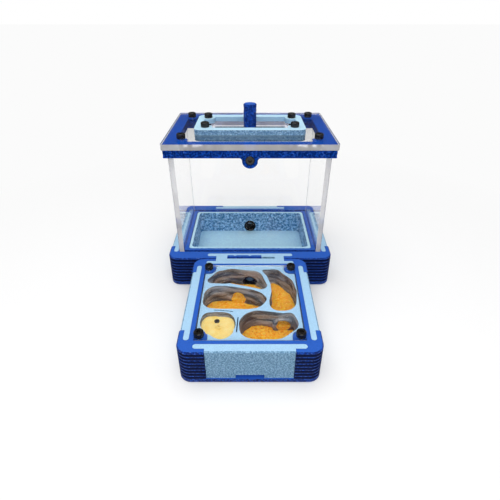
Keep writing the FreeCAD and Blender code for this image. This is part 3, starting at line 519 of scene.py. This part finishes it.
def rock_material():
    """Carved chamber walls: wavy layers of grey with blue and brown streaks."""
    material, tree, shader = surface("carved_rock", roughness=0.8, Specular_IOR_Level=0.2)
    layers = add(tree, "ShaderNodeMapping", {
        "Vector": object_place(tree), "Scale": ROCK_LAYERS, "Rotation": ROCK_TILT}).outputs[0]
    streak = noise_value(tree, layers, 1.0, 2.0, Roughness=0.45, Distortion=ROCK_DISTORTION)
    patch = noise_value(tree, layers, 0.5, 1.5)
    grey = blend(tree, ramp(tree, streak, *ROCK_RANGE), *ROCK_GREY)
    brown = blend(tree, ramp(tree, streak, *ROCK_BROWN_RANGE), *ROCK_BROWN)
    blue = blend(tree, ramp(tree, streak, *ROCK_RANGE), *ROCK_BLUE)
    colour = blend(tree, ramp(tree, patch, *ROCK_TO_BROWN), grey, brown)
    colour = blend(tree, ramp(tree, patch, *ROCK_TO_BLUE), colour, blue)
    tree.links.new(colour, shader.inputs["Base Color"])
    bump(tree, shader, streak, ROCK_BUMP)
    return material


def sand_material():
    """Orange grains, each with its own tone and a few darker ones."""
    material, tree, shader = surface("orange_sand", roughness=0.7, Specular_IOR_Level=0.3)
    cells = add(tree, "ShaderNodeTexVoronoi", {"Vector": object_place(tree), "Scale": SAND_CELLS})
    pick = add(tree, "ShaderNodeSeparateColor", {0: cells.outputs["Color"]}).outputs[0]
    grain = blend(tree, pick, SAND_DEEP, SAND_PALE)
    dark = maths(tree, "GREATER_THAN", pick, SAND_DARK_ABOVE)
    tree.links.new(blend(tree, dark, grain, SAND_DARK), shader.inputs["Base Color"])
    bump(tree, shader, maths(tree, "SUBTRACT", 1.0, cells.outputs["Distance"]), SAND_BUMP)
    return material


def plate_material():
    """Pale yellow plate with a soft mottle."""
    material, tree, shader = surface(
        "yellow_plate", roughness=0.55, Specular_IOR_Level=0.3, Subsurface_Weight=0.15,
        Subsurface_Radius=PLATE_GLOW_RADIUS)
    mottle = noise_value(tree, object_place(tree), PLATE_SCALE, 3.0)
    colour = blend(tree, ramp(tree, mottle, *PLATE_RANGE), PLATE_DEEP, PLATE_PALE)
    tree.links.new(colour, shader.inputs["Base Color"])
    bump(tree, shader, mottle, PLATE_BUMP)
    return material


def dress(names, material):
    """Give CAD nodes a material."""
    for name in names:
        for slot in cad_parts[name].material_slots:
            slot.material = material


def welded_copy(node):
    """A CAD node's shape as one welded mesh to work on."""
    shape = bmesh.new()
    shape.from_mesh(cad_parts[node].data)
    bmesh.ops.remove_doubles(shape, verts=shape.verts, dist=WELD_REACH)
    return shape


def refine(shape, wanted, longest):
    """Split the edges of the wanted faces until none is longer than asked."""
    for _ in range(REFINE_ROUNDS):
        faces = [f for f in shape.faces if wanted(f)]
        edges = {e for f in faces for e in f.edges if e.calc_length() > longest}
        if not edges:
            break
        bmesh.ops.subdivide_edges(shape, edges=list(edges), cuts=1)
        bmesh.ops.triangulate(shape, faces=[f for f in shape.faces if len(f.verts) > 3])


def piece_from(shape, name, materials, smooth=False):
    """A scene object at the origin from a finished mesh."""
    bmesh.ops.recalc_face_normals(shape, faces=shape.faces)
    mesh = bpy.data.meshes.new(name)
    shape.to_mesh(mesh)
    shape.free()
    for material in materials:
        mesh.materials.append(material)
    if smooth:
        mesh.polygons.foreach_set("use_smooth", [True] * len(mesh.polygons))
    piece = bpy.data.objects.new(name, mesh)
    bpy.context.collection.objects.link(piece)
    return piece


def bed_trees():
    """Search trees over the beds, to tell a chamber wall from the insert's other faces."""
    trees = []
    for node in list(SAND_SHAPES) + ["reservoir_plate"]:
        bed = welded_copy(node)
        trees.append(BVHTree.FromBMesh(bed))
        bed.free()
    return trees


def by_a_bed(trees, point):
    """Whether a bed's edge lies straight below or above the point."""
    spot = Vector((point.x, point.y, BED_MID_Z))
    return any(tree.find_nearest(spot)[3] < BED_REACH for tree in trees)


def is_level(face):
    return abs(face.normal.z) > LEVEL_FACE


def is_wall(face):
    """An upright face below the insert's top."""
    return abs(face.normal.z) < LEVEL_FACE and face.calc_center_median().z < INSERT_TOP_Z


def is_rock(face, trees):
    """A face of a chamber, a passage or the tunnel's mouth, and not of the insert's outside or top."""
    centre = face.calc_center_median()
    if is_level(face) and centre.z < LEDGE_TOP_Z:
        return True
    if is_wall(face) and (by_a_bed(trees, centre) or by_a_mouth(face)):
        return True
    return abs(face.normal.z) < NEAR_LEVEL_FACE and is_bore(face)


def carved_insert(top_material, rock):
    """The nest insert with its chamber walls carved like weathered rock."""
    trees = bed_trees()
    shape = welded_copy("nest_insert")
    layer = shape.faces.layers.int.new("rock")
    for face in shape.faces:
        face[layer] = 1 if is_rock(face, trees) else 0

    def carved(face):
        return face[layer] == 1 and abs(face.normal.z) < LEVEL_FACE

    refine(shape, carved, CARVE_STEP)
    shape.normal_update()
    moves = {}
    for vert in shape.verts:
        out = Vector((0.0, 0.0, 0.0))
        for face in vert.link_faces:
            if carved(face):
                out += face.normal
        out.z = 0.0
        if out.length > WELD_REACH:
            moves[vert] = out.normalized() * carve_at(vert.co)
    for vert, move in moves.items():
        vert.co += move
    for face in shape.faces:
        face.material_index = face[layer]
        face.smooth = carved(face)
    return piece_from(shape, "nest_insert_carved", [top_material, rock])


def is_bore(face):
    """A sideways face at the height of the passages and the tunnel."""
    centre = face.calc_center_median()
    at_height = BORE_LOW_Z < centre.z < BORE_HIGH_Z
    return at_height and abs(face.normal.y) < UPRIGHT_FACE and abs(centre.x) < BORE_ACROSS


def by_a_mouth(face):
    """A face of the chamber wall round the cup or round the tunnel's mouth."""
    centre = face.calc_center_median()
    by_cup = abs(centre.x - CUP_AT[0]) < MOUTH_REACH and abs(centre.y - CUP_AT[1]) < CUP_DEPTH
    by_tunnel = abs(centre.x) < MOUTH_REACH and centre.y > TUNNEL_WALL_Y
    return face.normal.y < UPRIGHT_FACE and (by_cup or by_tunnel)


def cup_lip(rock):
    """The raised lower lip of the cup that holds the sand back in the front chamber's passage."""
    shape = bmesh.new()
    rings = []
    for i in range(CUP_STEPS + 1):
        share = 2 * i / CUP_STEPS - 1
        turn = CUP_REACH * share - math.pi / 2
        taper = math.sqrt(max(0.0, 1 - abs(share) ** 4))
        thick = CUP_LIP * (CUP_LIP_END + (1 - CUP_LIP_END) * taper)
        ring = []
        for j in range(CUP_SIDES):
            side = 2 * math.pi * j / CUP_SIDES
            lump = noise.noise(Vector((CUP_LIP_LUMPS * turn, side, 0.0)))
            lip = thick * (1 + CUP_LIP_UNEVEN * lump)
            radius = CUP_RADIUS + lip * math.cos(side)
            ring.append(shape.verts.new((
                CUP_AT[0] + radius * math.cos(turn), CUP_AT[1] + lip * math.sin(side),
                CUP_AT[2] + radius * math.sin(turn))))
        rings.append(ring)
    for near, far in zip(rings, rings[1:]):
        for j in range(CUP_SIDES):
            k = (j + 1) % CUP_SIDES
            shape.faces.new((near[j], near[k], far[k], far[j]))
    shape.faces.new(rings[0])
    shape.faces.new(rings[-1])
    piece = piece_from(shape, "passage_cup_lip", [rock], smooth=True)
    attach(piece, "habitat")


def carve_at(point):
    """How far the wall stands in at a point."""
    height = point.z + CARVE_FOLD_TILT * point.x
    ridge = Vector((point.x * CARVE_FOLD_ACROSS, point.y * CARVE_FOLD_ACROSS, height * CARVE_FOLD_UP))
    folds = noise.fractal(ridge, *CARVE_FRACTAL)
    lumps = noise.noise(point * CARVE_LUMP_SCALE)
    rise = CARVE_MEAN + CARVE_FOLDS * folds + CARVE_LUMPS * lumps
    rim = CARVE_AT_RIM + (INSERT_TOP_Z - point.z) / CARVE_RIM_FADE
    return CARVE_DEPTH * max(0.0, min(1.0, rise)) * min(1.0, rim)


def geometry_tree(name, inputs):
    """An empty geometry tree with named inputs, given as label: (socket type, value)."""
    tree = bpy.data.node_groups.new(name, "GeometryNodeTree")
    tree.interface.new_socket("Geometry", in_out="INPUT", socket_type="NodeSocketGeometry")
    tree.interface.new_socket("Geometry", in_out="OUTPUT", socket_type="NodeSocketGeometry")
    for label, (kind, value) in inputs.items():
        socket = tree.interface.new_socket(label, in_out="INPUT", socket_type=kind)
        if value is not None:
            socket.default_value = value
    return tree, tree.nodes.new("NodeGroupInput"), tree.nodes.new("NodeGroupOutput")


def finish_tree(tree, given, out, geometry):
    """Realize what the tree repeats and give it the material."""
    real = add(tree, "GeometryNodeRealizeInstances", {"Geometry": geometry})
    painted = add(tree, "GeometryNodeSetMaterial", {
        "Geometry": real.outputs[0], "Material": given.outputs["Material"]})
    tree.links.new(painted.outputs[0], out.inputs["Geometry"])


def grown(name, base, tree, values):
    """The plain mesh that a geometry tree makes of a base mesh, as an object of its own."""
    holder = bpy.data.objects.new(name + "_base", base)
    bpy.context.collection.objects.link(holder)
    modifier = holder.modifiers.new("grow", "NODES")
    modifier.node_group = tree
    for item in tree.interface.items_tree:
        if item.in_out == "INPUT" and item.name in values:
            modifier[item.identifier] = values[item.name]
    graph = bpy.context.evaluated_depsgraph_get()
    mesh = bpy.data.meshes.new_from_object(holder.evaluated_get(graph), depsgraph=graph)
    holder.modifiers.remove(modifier)
    bpy.data.objects.remove(holder)
    mesh.name = name
    piece = bpy.data.objects.new(name, mesh)
    bpy.context.collection.objects.link(piece)
    return piece


def grain_tree():
    """Loose grains strewn over the level faces of a bed, kept together with the bed itself."""
    tree, given, out = geometry_tree("strewn_grains", {
        "Density": ("NodeSocketFloat", 1.0), "Radius": ("NodeSocketFloat", 0.001),
        "Seed": ("NodeSocketInt", 1), "Material": ("NodeSocketMaterial", None)})
    bed = given.outputs["Geometry"]
    normal = add(tree, "GeometryNodeInputNormal").outputs[0]
    rise = add(tree, "ShaderNodeSeparateXYZ", {0: normal}).outputs[2]
    level = add(tree, "FunctionNodeCompare", {
        0: rise, 1: RISING_FACE}, operation="GREATER_THAN").outputs[0]
    points = add(tree, "GeometryNodeDistributePointsOnFaces", {
        "Mesh": bed, "Selection": level, "Density": given.outputs["Density"],
        "Seed": given.outputs["Seed"]})
    grain = add(tree, "GeometryNodeMeshIcoSphere", {
        "Radius": given.outputs["Radius"], "Subdivisions": 1})
    size = add(tree, "FunctionNodeRandomValue", {0: GRAIN_LEAST, 1: GRAIN_MOST}, data_type="FLOAT_VECTOR")
    turn = add(tree, "FunctionNodeRandomValue", {
        0: (0.0, 0.0, 0.0), 1: GRAIN_TURNS}, data_type="FLOAT_VECTOR")
    strewn = add(tree, "GeometryNodeInstanceOnPoints", {
        "Points": points.outputs["Points"], "Instance": grain.outputs["Mesh"],
        "Rotation": turn.outputs[0], "Scale": size.outputs[0]})
    both = tree.nodes.new("GeometryNodeJoinGeometry")
    tree.links.new(strewn.outputs[0], both.inputs[0])
    tree.links.new(bed, both.inputs[0])
    finish_tree(tree, given, out, both.outputs[0])
    return tree


def sand_piece(node, sand, grains, seed):
    """A bed of grains: a gently uneven top with single grains standing out."""
    lift, tilt_across, tilt_along, swell = SAND_SHAPES[node]
    low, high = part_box(node)
    middle = (low + high) / 2
    shape = welded_copy(node)

    def on_top(face):
        return face.normal.z > LEVEL_FACE

    refine(shape, on_top, SAND_STEP)
    for vert in shape.verts:
        if not vert.link_faces or not all(on_top(f) for f in vert.link_faces):
            continue
        wave = swell * MM * noise.fractal(vert.co * SAND_WAVES, *SAND_FRACTAL)
        if vert.co.z < SAND_UPPER_Z:
            tilt = tilt_across * (vert.co.x - middle.x) + tilt_along * (vert.co.y - middle.y)
            vert.co.z += lift * MM + tilt + wave
        else:
            vert.co.z += PASSAGE_SAND_LIFT
        vert.co.z += SAND_RIPPLE_HEIGHT * noise.noise(vert.co * SAND_RIPPLES) - GRAIN_SINK
    bmesh.ops.recalc_face_normals(shape, faces=shape.faces)
    base = bpy.data.meshes.new(node)
    shape.to_mesh(base)
    shape.free()
    piece = grown(node + "_grains", base, grains, {
        "Density": GRAINS_PER_MM2 / (MM * MM), "Radius": GRAIN_RADIUS, "Seed": seed, "Material": sand})
    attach(piece, "habitat")
    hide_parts(node)


def clear_sheet(node, body, materials):
    """A clear sheet drawn in by a hair from what it touches, with its outer edges saw-cut."""
    shape = welded_copy(node)
    shape.normal_update()
    low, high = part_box(node)
    size = high - low
    thin = min(range(3), key=lambda a: size[a])
    moves = {v: v.normal * (v.calc_shell_factor() * SHEET_GAP) for v in shape.verts}
    for vert, move in moves.items():
        vert.co -= move
    for face in shape.faces:
        centre = face.calc_center_median()
        margins = [min(centre[a] - low[a], high[a] - centre[a]) for a in range(3) if a != thin]
        sawn = min(margins) < EDGE_BAND and abs(face.normal[thin]) < ACROSS_SHEET
        face.material_index = 1 if sawn else 0
    piece = piece_from(shape, node + "_sheet", materials)
    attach(piece, body)
    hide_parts(node)


def well_inside(point, low, high):
    """Whether a point is away from a box's four sides."""
    return all(low[a] + FUZZ_MARGIN < point[a] < high[a] - FUZZ_MARGIN for a in range(2))


def fuzzy_piece(node, body, materials, depth, part="all"):
    """A printed piece whose upright faces have the real roughness of fuzzy walls.

    part says which of them do: all, inner or outer. Smooth inner faces take the second material.
    """
    shape = welded_copy(node)
    low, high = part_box(node)
    layer = shape.faces.layers.int.new("fuzzy")
    for face in shape.faces:
        inside = well_inside(face.calc_center_median(), low, high)
        upright = abs(face.normal.z) < UPRIGHT_FACE
        wanted = part == "all" or inside == (part == "inner")
        face[layer] = 1 if upright and wanted else 0
        face.material_index = 1 if upright and inside and part == "outer" else 0
    refine(shape, lambda f: f[layer] == 1, FUZZ_STEP)
    shape.normal_update()
    moves = {}
    for vert in shape.verts:
        if all(f[layer] == 1 for f in vert.link_faces):
            lump = noise.noise(vert.co * FUZZ_LUMPS) + 0.5 * noise.noise(vert.co * FUZZ_FINE_LUMPS)
            moves[vert] = vert.normal * (depth * (0.5 * lump - 0.5))
    for vert, move in moves.items():
        vert.co += move
    piece = piece_from(shape, node + "_fuzzy", materials)
    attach(piece, body)
    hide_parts(node)


def knurl_tree():
    """Fine ribs round screw heads: one ring of ribs at each point of the base mesh."""
    tree, given, out = geometry_tree("knurled_heads", {
        "Ribs": ("NodeSocketInt", KNURL_RIBS), "Radius": ("NodeSocketFloat", HEAD_RADIUS),
        "Rise": ("NodeSocketFloat", KNURL_RISE), "Length": ("NodeSocketFloat", KNURL_LENGTH),
        "Material": ("NodeSocketMaterial", None)})
    ring = add(tree, "GeometryNodeMeshCircle", {
        "Vertices": given.outputs["Ribs"], "Radius": given.outputs["Radius"]})
    rib = add(tree, "GeometryNodeMeshCylinder", {
        "Vertices": KNURL_SIDES, "Radius": given.outputs["Rise"], "Depth": given.outputs["Length"]})
    ribs = add(tree, "GeometryNodeInstanceOnPoints", {
        "Points": ring.outputs[0], "Instance": rib.outputs["Mesh"]})
    whole = add(tree, "GeometryNodeRealizeInstances", {"Geometry": ribs.outputs[0]})
    heads = add(tree, "GeometryNodeInstanceOnPoints", {
        "Points": given.outputs["Geometry"], "Instance": whole.outputs[0]})
    finish_tree(tree, given, out, heads.outputs[0])
    return tree


def knurls(name, body, centres, tree, material, facing=None):
    """The knurls of the screw heads that ride on one body."""
    base = bpy.data.meshes.new(name)
    base.from_pydata([(0.0, 0.0, 0.0)] if facing else centres, [], [])
    piece = grown(name, base, tree, {
        "Ribs": KNURL_RIBS, "Radius": HEAD_RADIUS, "Rise": KNURL_RISE, "Length": KNURL_LENGTH,
        "Material": material})
    if facing:
        piece.data.transform(Matrix.Translation(centres[0]) @ facing)
    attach(piece, body)


def head_centre(node):
    """The middle of an upright screw's head."""
    low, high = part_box(node)
    return ((low.x + high.x) / 2, (low.y + high.y) / 2, high.z - HEAD_HEIGHT / 2)


def screw_knurls(oxide):
    tree = knurl_tree()
    screws = [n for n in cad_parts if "_screw_" in n]
    on_nest = [head_centre(n) for n in screws if n.startswith("nest")]
    on_lid = [head_centre(n) for n in screws if not n.startswith("nest")]
    knurls("nest_screw_knurls", "habitat", on_nest, tree, oxide)
    knurls("lid_screw_knurls", "lid", on_lid, tree, oxide)
    low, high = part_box("lock_screw")
    middle = Vector(((low.x + high.x) / 2, low.y + HEAD_HEIGHT / 2, (low.z + high.z) / 2))
    knurls("lock_screw_knurls", "lock", [middle], tree, oxide, Matrix.Rotation(math.pi / 2, 4, "X"))


def weave_reach(across, half, lobe, lobe_across):
    """How far a wire runs at a distance across the hatch before it meets the rim or a screw's lobe."""
    across = abs(across)
    if across > lobe_across:
        return lobe - WEAVE_LOBE_RADIUS
    gap = lobe_across - across
    if gap < WEAVE_LOBE_RADIUS:
        return lobe - math.sqrt(WEAVE_LOBE_RADIUS ** 2 - gap ** 2)
    return half


def weave_tree():
    """Wires that pass over and under each other, from straight lines with a sign for each wire."""
    tree, given, out = geometry_tree("woven_wire", {
        "Pitch": ("NodeSocketFloat", WEAVE_PITCH), "Wave": ("NodeSocketFloat", WEAVE_WAVE),
        "Wire Radius": ("NodeSocketFloat", WEAVE_WIRE), "Material": ("NodeSocketMaterial", None)})
    place = add(tree, "ShaderNodeSeparateXYZ", {0: add(tree, "GeometryNodeInputPosition").outputs[0]})
    over = add(tree, "GeometryNodeInputNamedAttribute", {"Name": "over"}, data_type="FLOAT").outputs[0]
    rate = maths(tree, "DIVIDE", math.pi, given.outputs["Pitch"])
    wave_x = maths(tree, "COSINE", maths(tree, "MULTIPLY", place.outputs[0], rate))
    wave_y = maths(tree, "COSINE", maths(tree, "MULTIPLY", place.outputs[1], rate))
    wave = maths(tree, "MULTIPLY", maths(tree, "MULTIPLY", wave_x, wave_y), over)
    rise = add(tree, "ShaderNodeCombineXYZ", {2: maths(tree, "MULTIPLY", wave, given.outputs["Wave"])})
    waved = add(tree, "GeometryNodeSetPosition", {
        "Geometry": given.outputs["Geometry"], "Offset": rise.outputs[0]})
    line = add(tree, "GeometryNodeMeshToCurve", {"Mesh": waved.outputs[0]})
    round_wire = add(tree, "GeometryNodeCurvePrimitiveCircle", {
        "Resolution": WEAVE_WIRE_SIDES, "Radius": given.outputs["Wire Radius"]})
    wire = add(tree, "GeometryNodeCurveToMesh", {
        "Curve": line.outputs[0], "Profile Curve": round_wire.outputs[0], "Fill Caps": True})
    finish_tree(tree, given, out, wire.outputs[0])
    return tree


def weave_wires():
    """The wires as straight lines of points: places, edges, and which way each wire passes first."""
    points = []
    edges = []
    signs = []
    half_pitch = WEAVE_PITCH / 2

    def wire(along, across, reach, sign):
        steps = int(reach / half_pitch)
        for i in range(-steps, steps + 1):
            spot = [0.0, 0.0, 0.0]
            spot[along] = i * half_pitch
            spot[1 - along] = across
            if i > -steps:
                edges.append((len(points) - 1, len(points)))
            points.append(spot)
            signs.append(sign)

    rows = int(WEAVE_HALF_Y / WEAVE_PITCH)
    for row in range(-rows, rows + 1):
        y = row * WEAVE_PITCH
        wire(0, y, weave_reach(y, WEAVE_HALF_X, WEAVE_LOBE_X, WEAVE_LOBE_Y), 1.0)
    rows = int(WEAVE_HALF_X / WEAVE_PITCH)
    for row in range(-rows, rows + 1):
        x = row * WEAVE_PITCH
        wire(1, x, weave_reach(x, WEAVE_HALF_Y, WEAVE_LOBE_Y, WEAVE_LOBE_X), -1.0)
    return points, edges, signs


def hatch_weave(material):
    """The woven wire of the hatch door, clipped round the ring's screw lobes."""
    points, edges, signs = weave_wires()
    base = bpy.data.meshes.new("hatch_weave")
    base.from_pydata(points, edges, [])
    base.attributes.new("over", "FLOAT", "POINT").data.foreach_set("value", signs)
    piece = grown("hatch_weave", base, weave_tree(), {
        "Pitch": WEAVE_PITCH, "Wave": WEAVE_WAVE, "Wire Radius": WEAVE_WIRE, "Material": material})
    piece.data.transform(Matrix.Translation(WEAVE_MID))
    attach(piece, "hatch_door")
    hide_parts("hatch_mesh")


def stage():
    """The pale floor: it keeps the object's shadow near by and fades to plain white far off."""
    floor = bpy.data.meshes.new("floor")
    h = FLOOR_HALF
    floor.from_pydata([(-h, -h, 0), (h, -h, 0), (h, h, 0), (-h, h, 0)], [], [(0, 1, 2, 3)])
    ground = bpy.data.objects.new("floor", floor)
    bpy.context.collection.objects.link(ground)
    material, tree, shader = surface("floor_paper", roughness=0.9, Specular_IOR_Level=0.0)
    rays = add(tree, "ShaderNodeLightPath")
    seen = seen_share(tree, rays)
    bounce = (FLOOR_BOUNCE,) * 3 + (1.0,)
    shown = (FLOOR_SEEN,) * 3 + (1.0,)
    tree.links.new(blend(tree, seen, bounce, shown), shader.inputs["Base Color"])
    away = add(tree, "ShaderNodeVectorMath", {0: object_place(tree)}, operation="LENGTH").outputs["Value"]
    far = maths(tree, "MULTIPLY", ramp(tree, away, *FLOOR_FADE), seen)
    glow = add(tree, "ShaderNodeEmission", {"Color": WHITE, "Strength": FLOOR_SEEN})
    mix = add(tree, "ShaderNodeMixShader", {0: far})
    tree.links.new(shader.outputs[0], mix.inputs[1])
    tree.links.new(glow.outputs[0], mix.inputs[2])
    tree.links.new(mix.outputs[0], output_of(tree).inputs[0])
    floor.materials.append(material)


def softbox(name, place, size, power):
    lamp = bpy.data.lights.new(name, "AREA")
    lamp.shape = "SQUARE"
    lamp.size = size
    lamp.energy = power
    box = bpy.data.objects.new(name, lamp)
    box.location = place
    aim = Vector(AIM_AT) - Vector(place)
    box.rotation_euler = aim.to_track_quat("-Z", "Y").to_euler()
    bpy.context.collection.objects.link(box)


def light():
    """An even white world, dimmer for light than for the eye, and two soft boxes."""
    world = bpy.data.worlds.new("studio")
    bpy.context.scene.world = world
    world.use_nodes = True
    tree = world.node_tree
    tree.nodes.clear()
    rays = add(tree, "ShaderNodeLightPath")
    direction = add(tree, "ShaderNodeTexCoord").outputs["Generated"]
    upward = add(tree, "ShaderNodeSeparateXYZ", {0: direction}).outputs[2]
    high_up = ramp(tree, upward, *SKY_GLOSS_HEIGHTS)
    ceiling = maths(tree, "MULTIPLY", high_up, rays.outputs["Is Glossy Ray"])
    shown = either(tree, ceiling, 1.0, SKY_GLOSS)
    strength = either(tree, seen_share(tree, rays), SKY_LIGHT, shown)
    glow = add(tree, "ShaderNodeBackground", {"Color": WHITE, "Strength": strength})
    out = tree.nodes.new("ShaderNodeOutputWorld")
    tree.links.new(glow.outputs[0], out.inputs[0])
    softbox("softbox_key", KEY_AT, KEY_SIZE, KEY_POWER)
    softbox("softbox_fill", FILL_AT, FILL_SIZE, FILL_POWER)


def camera():
    """The photograph's camera."""
    data = bpy.data.cameras.new("camera")
    data.sensor_width = CAMERA_SENSOR
    data.sensor_fit = "HORIZONTAL"
    data.lens = CAMERA_LENS
    data.clip_start, data.clip_end = CAMERA_CLIP
    shot = bpy.data.objects.new("camera", data)
    shot.location = CAMERA_AT
    shot.rotation_euler = (CAMERA_PITCH, 0.0, 0.0)
    bpy.context.collection.objects.link(shot)
    bpy.context.scene.camera = shot


def dress_nodes(blue, pale):
    """Materials for the CAD nodes that stay as they are."""
    oxide = black_oxide_material()
    steel = mesh_material()
    dress(("outworld_base", "nest_base", "gate_slider"), blue)
    dress(("module_connector",), pale)
    dress([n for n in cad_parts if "screw" in n], oxide)
    dress(("port_grommet", "nest_sleeve"), rubber_material())
    dress(("hatch_frame",), printed_black_material())
    dress(("fill_port_plug",), steel)
    dress(("reservoir_plate",), plate_material())
    screw_knurls(oxide)
    hatch_weave(steel)


def printed_pieces(blues, pales):
    """The printed pieces with fuzzy walls, from blue and light blue materials by use."""
    fuzzy_piece("lid_frame", "lid", [blues["lid"]], FUZZ_DEPTH)
    fuzzy_piece("hatch_knob", "hatch_door", [blues["knob"]], FUZZ_DEPTH)
    for node, body in FUZZY_PANELS.items():
        fuzzy_piece(node, body, [pales["panel"]], PANEL_FUZZ_DEPTH)
    ring = [pales["ring"], pales["smooth"]]
    fuzzy_piece("hatch_ring_upper", "lid", ring, FUZZ_DEPTH, "outer")
    # The lower ring takes the darkened copy: painted shade of the lid plate.
    fuzzy_piece("hatch_ring_lower", "lid", [pales["shaded"]], FUZZ_DEPTH)
    tray = [pales["tray"]]
    fuzzy_piece("outworld_tray", "habitat", tray, TRAY_FUZZ_DEPTH, "inner")


def nest_pieces(pale):
    rock = rock_material()
    cup_lip(rock)
    insert = carved_insert(pale, rock)
    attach(insert, "habitat")
    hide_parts("nest_insert")
    sand = sand_material()
    grains = grain_tree()
    for seed, node in enumerate(SAND_SHAPES):
        sand_piece(node, sand, grains, seed + 1)


def clear_pieces():
    finishes = [acrylic_material(), acrylic_edge_material()]
    for node, body in SHEETS.items():
        clear_sheet(node, body, finishes)


def light_blue_materials(skin):
    """The light blue prints by use."""
    plain = (LIGHT_BLUE, LIGHT_BLUE_SIDE_SHADE, LIGHT_BLUE_PIT_SHADE, LIGHT_BLUE_GROOVE_SHADE, LIGHT_BLUE_GLINT)
    # The ring's brighter top is a painted highlight.
    ring = (RING_TOP_HIGHLIGHT,) + plain[1:]
    # The tray's brighter colours are painted light.
    tray = (TRAY_BLUE_PAINTED_LIGHT, TRAY_SIDE_PAINTED_LIGHT, TRAY_PIT_SHADE, LIGHT_BLUE_GROOVE_SHADE, LIGHT_BLUE_GLINT)
    # A darkened copy for under the lid plate: painted shade.
    shaded = [tuple(SHADE_OF_PLATE * c for c in colour[:3]) + (1.0,) for colour in plain]
    return {
        "panel": printed_material("printed_light_blue", skin, plain, PANEL_FINISH),
        "ring": printed_material("printed_light_blue_ring", skin, ring, RING_FINISH),
        "smooth": printed_material("printed_light_blue_smooth", skin, plain, PANEL_FINISH, 0.0),
        "shaded": printed_material("printed_light_blue_shaded", skin, shaded, SHADED_FINISH),
        "tray": printed_material("printed_tray", skin, tray, TRAY_FINISH)}


def blue_materials(skin):
    """The dark blue prints by use."""
    base = (BLUE, BLUE_SIDE, BLUE_PIT_SHADE, BLUE_GROOVE_SHADE, BLUE_GLINT)
    lid = (LID_BLUE, BLUE_SIDE, LID_PIT_SHADE, BLUE_GROOVE_SHADE, LID_GLINT)
    knob = (BLUE,) + lid[1:]
    return {
        "base": printed_material("printed_blue", skin, base, BASE_FINISH),
        "lid": printed_material("printed_blue_lid", skin, lid, LID_FINISH),
        "knob": printed_material("printed_blue_knob", skin, knob, KNOB_FINISH)}


bpy.context.scene.view_settings.view_transform = "Standard"
camera()
light()
stage()
printed_skin = printed_skin_group()
blue_prints = blue_materials(printed_skin)
pale_prints = light_blue_materials(printed_skin)
dress_nodes(blue_prints["base"], pale_prints["panel"])
printed_pieces(blue_prints, pale_prints)
nest_pieces(pale_prints["panel"])
clear_pieces()
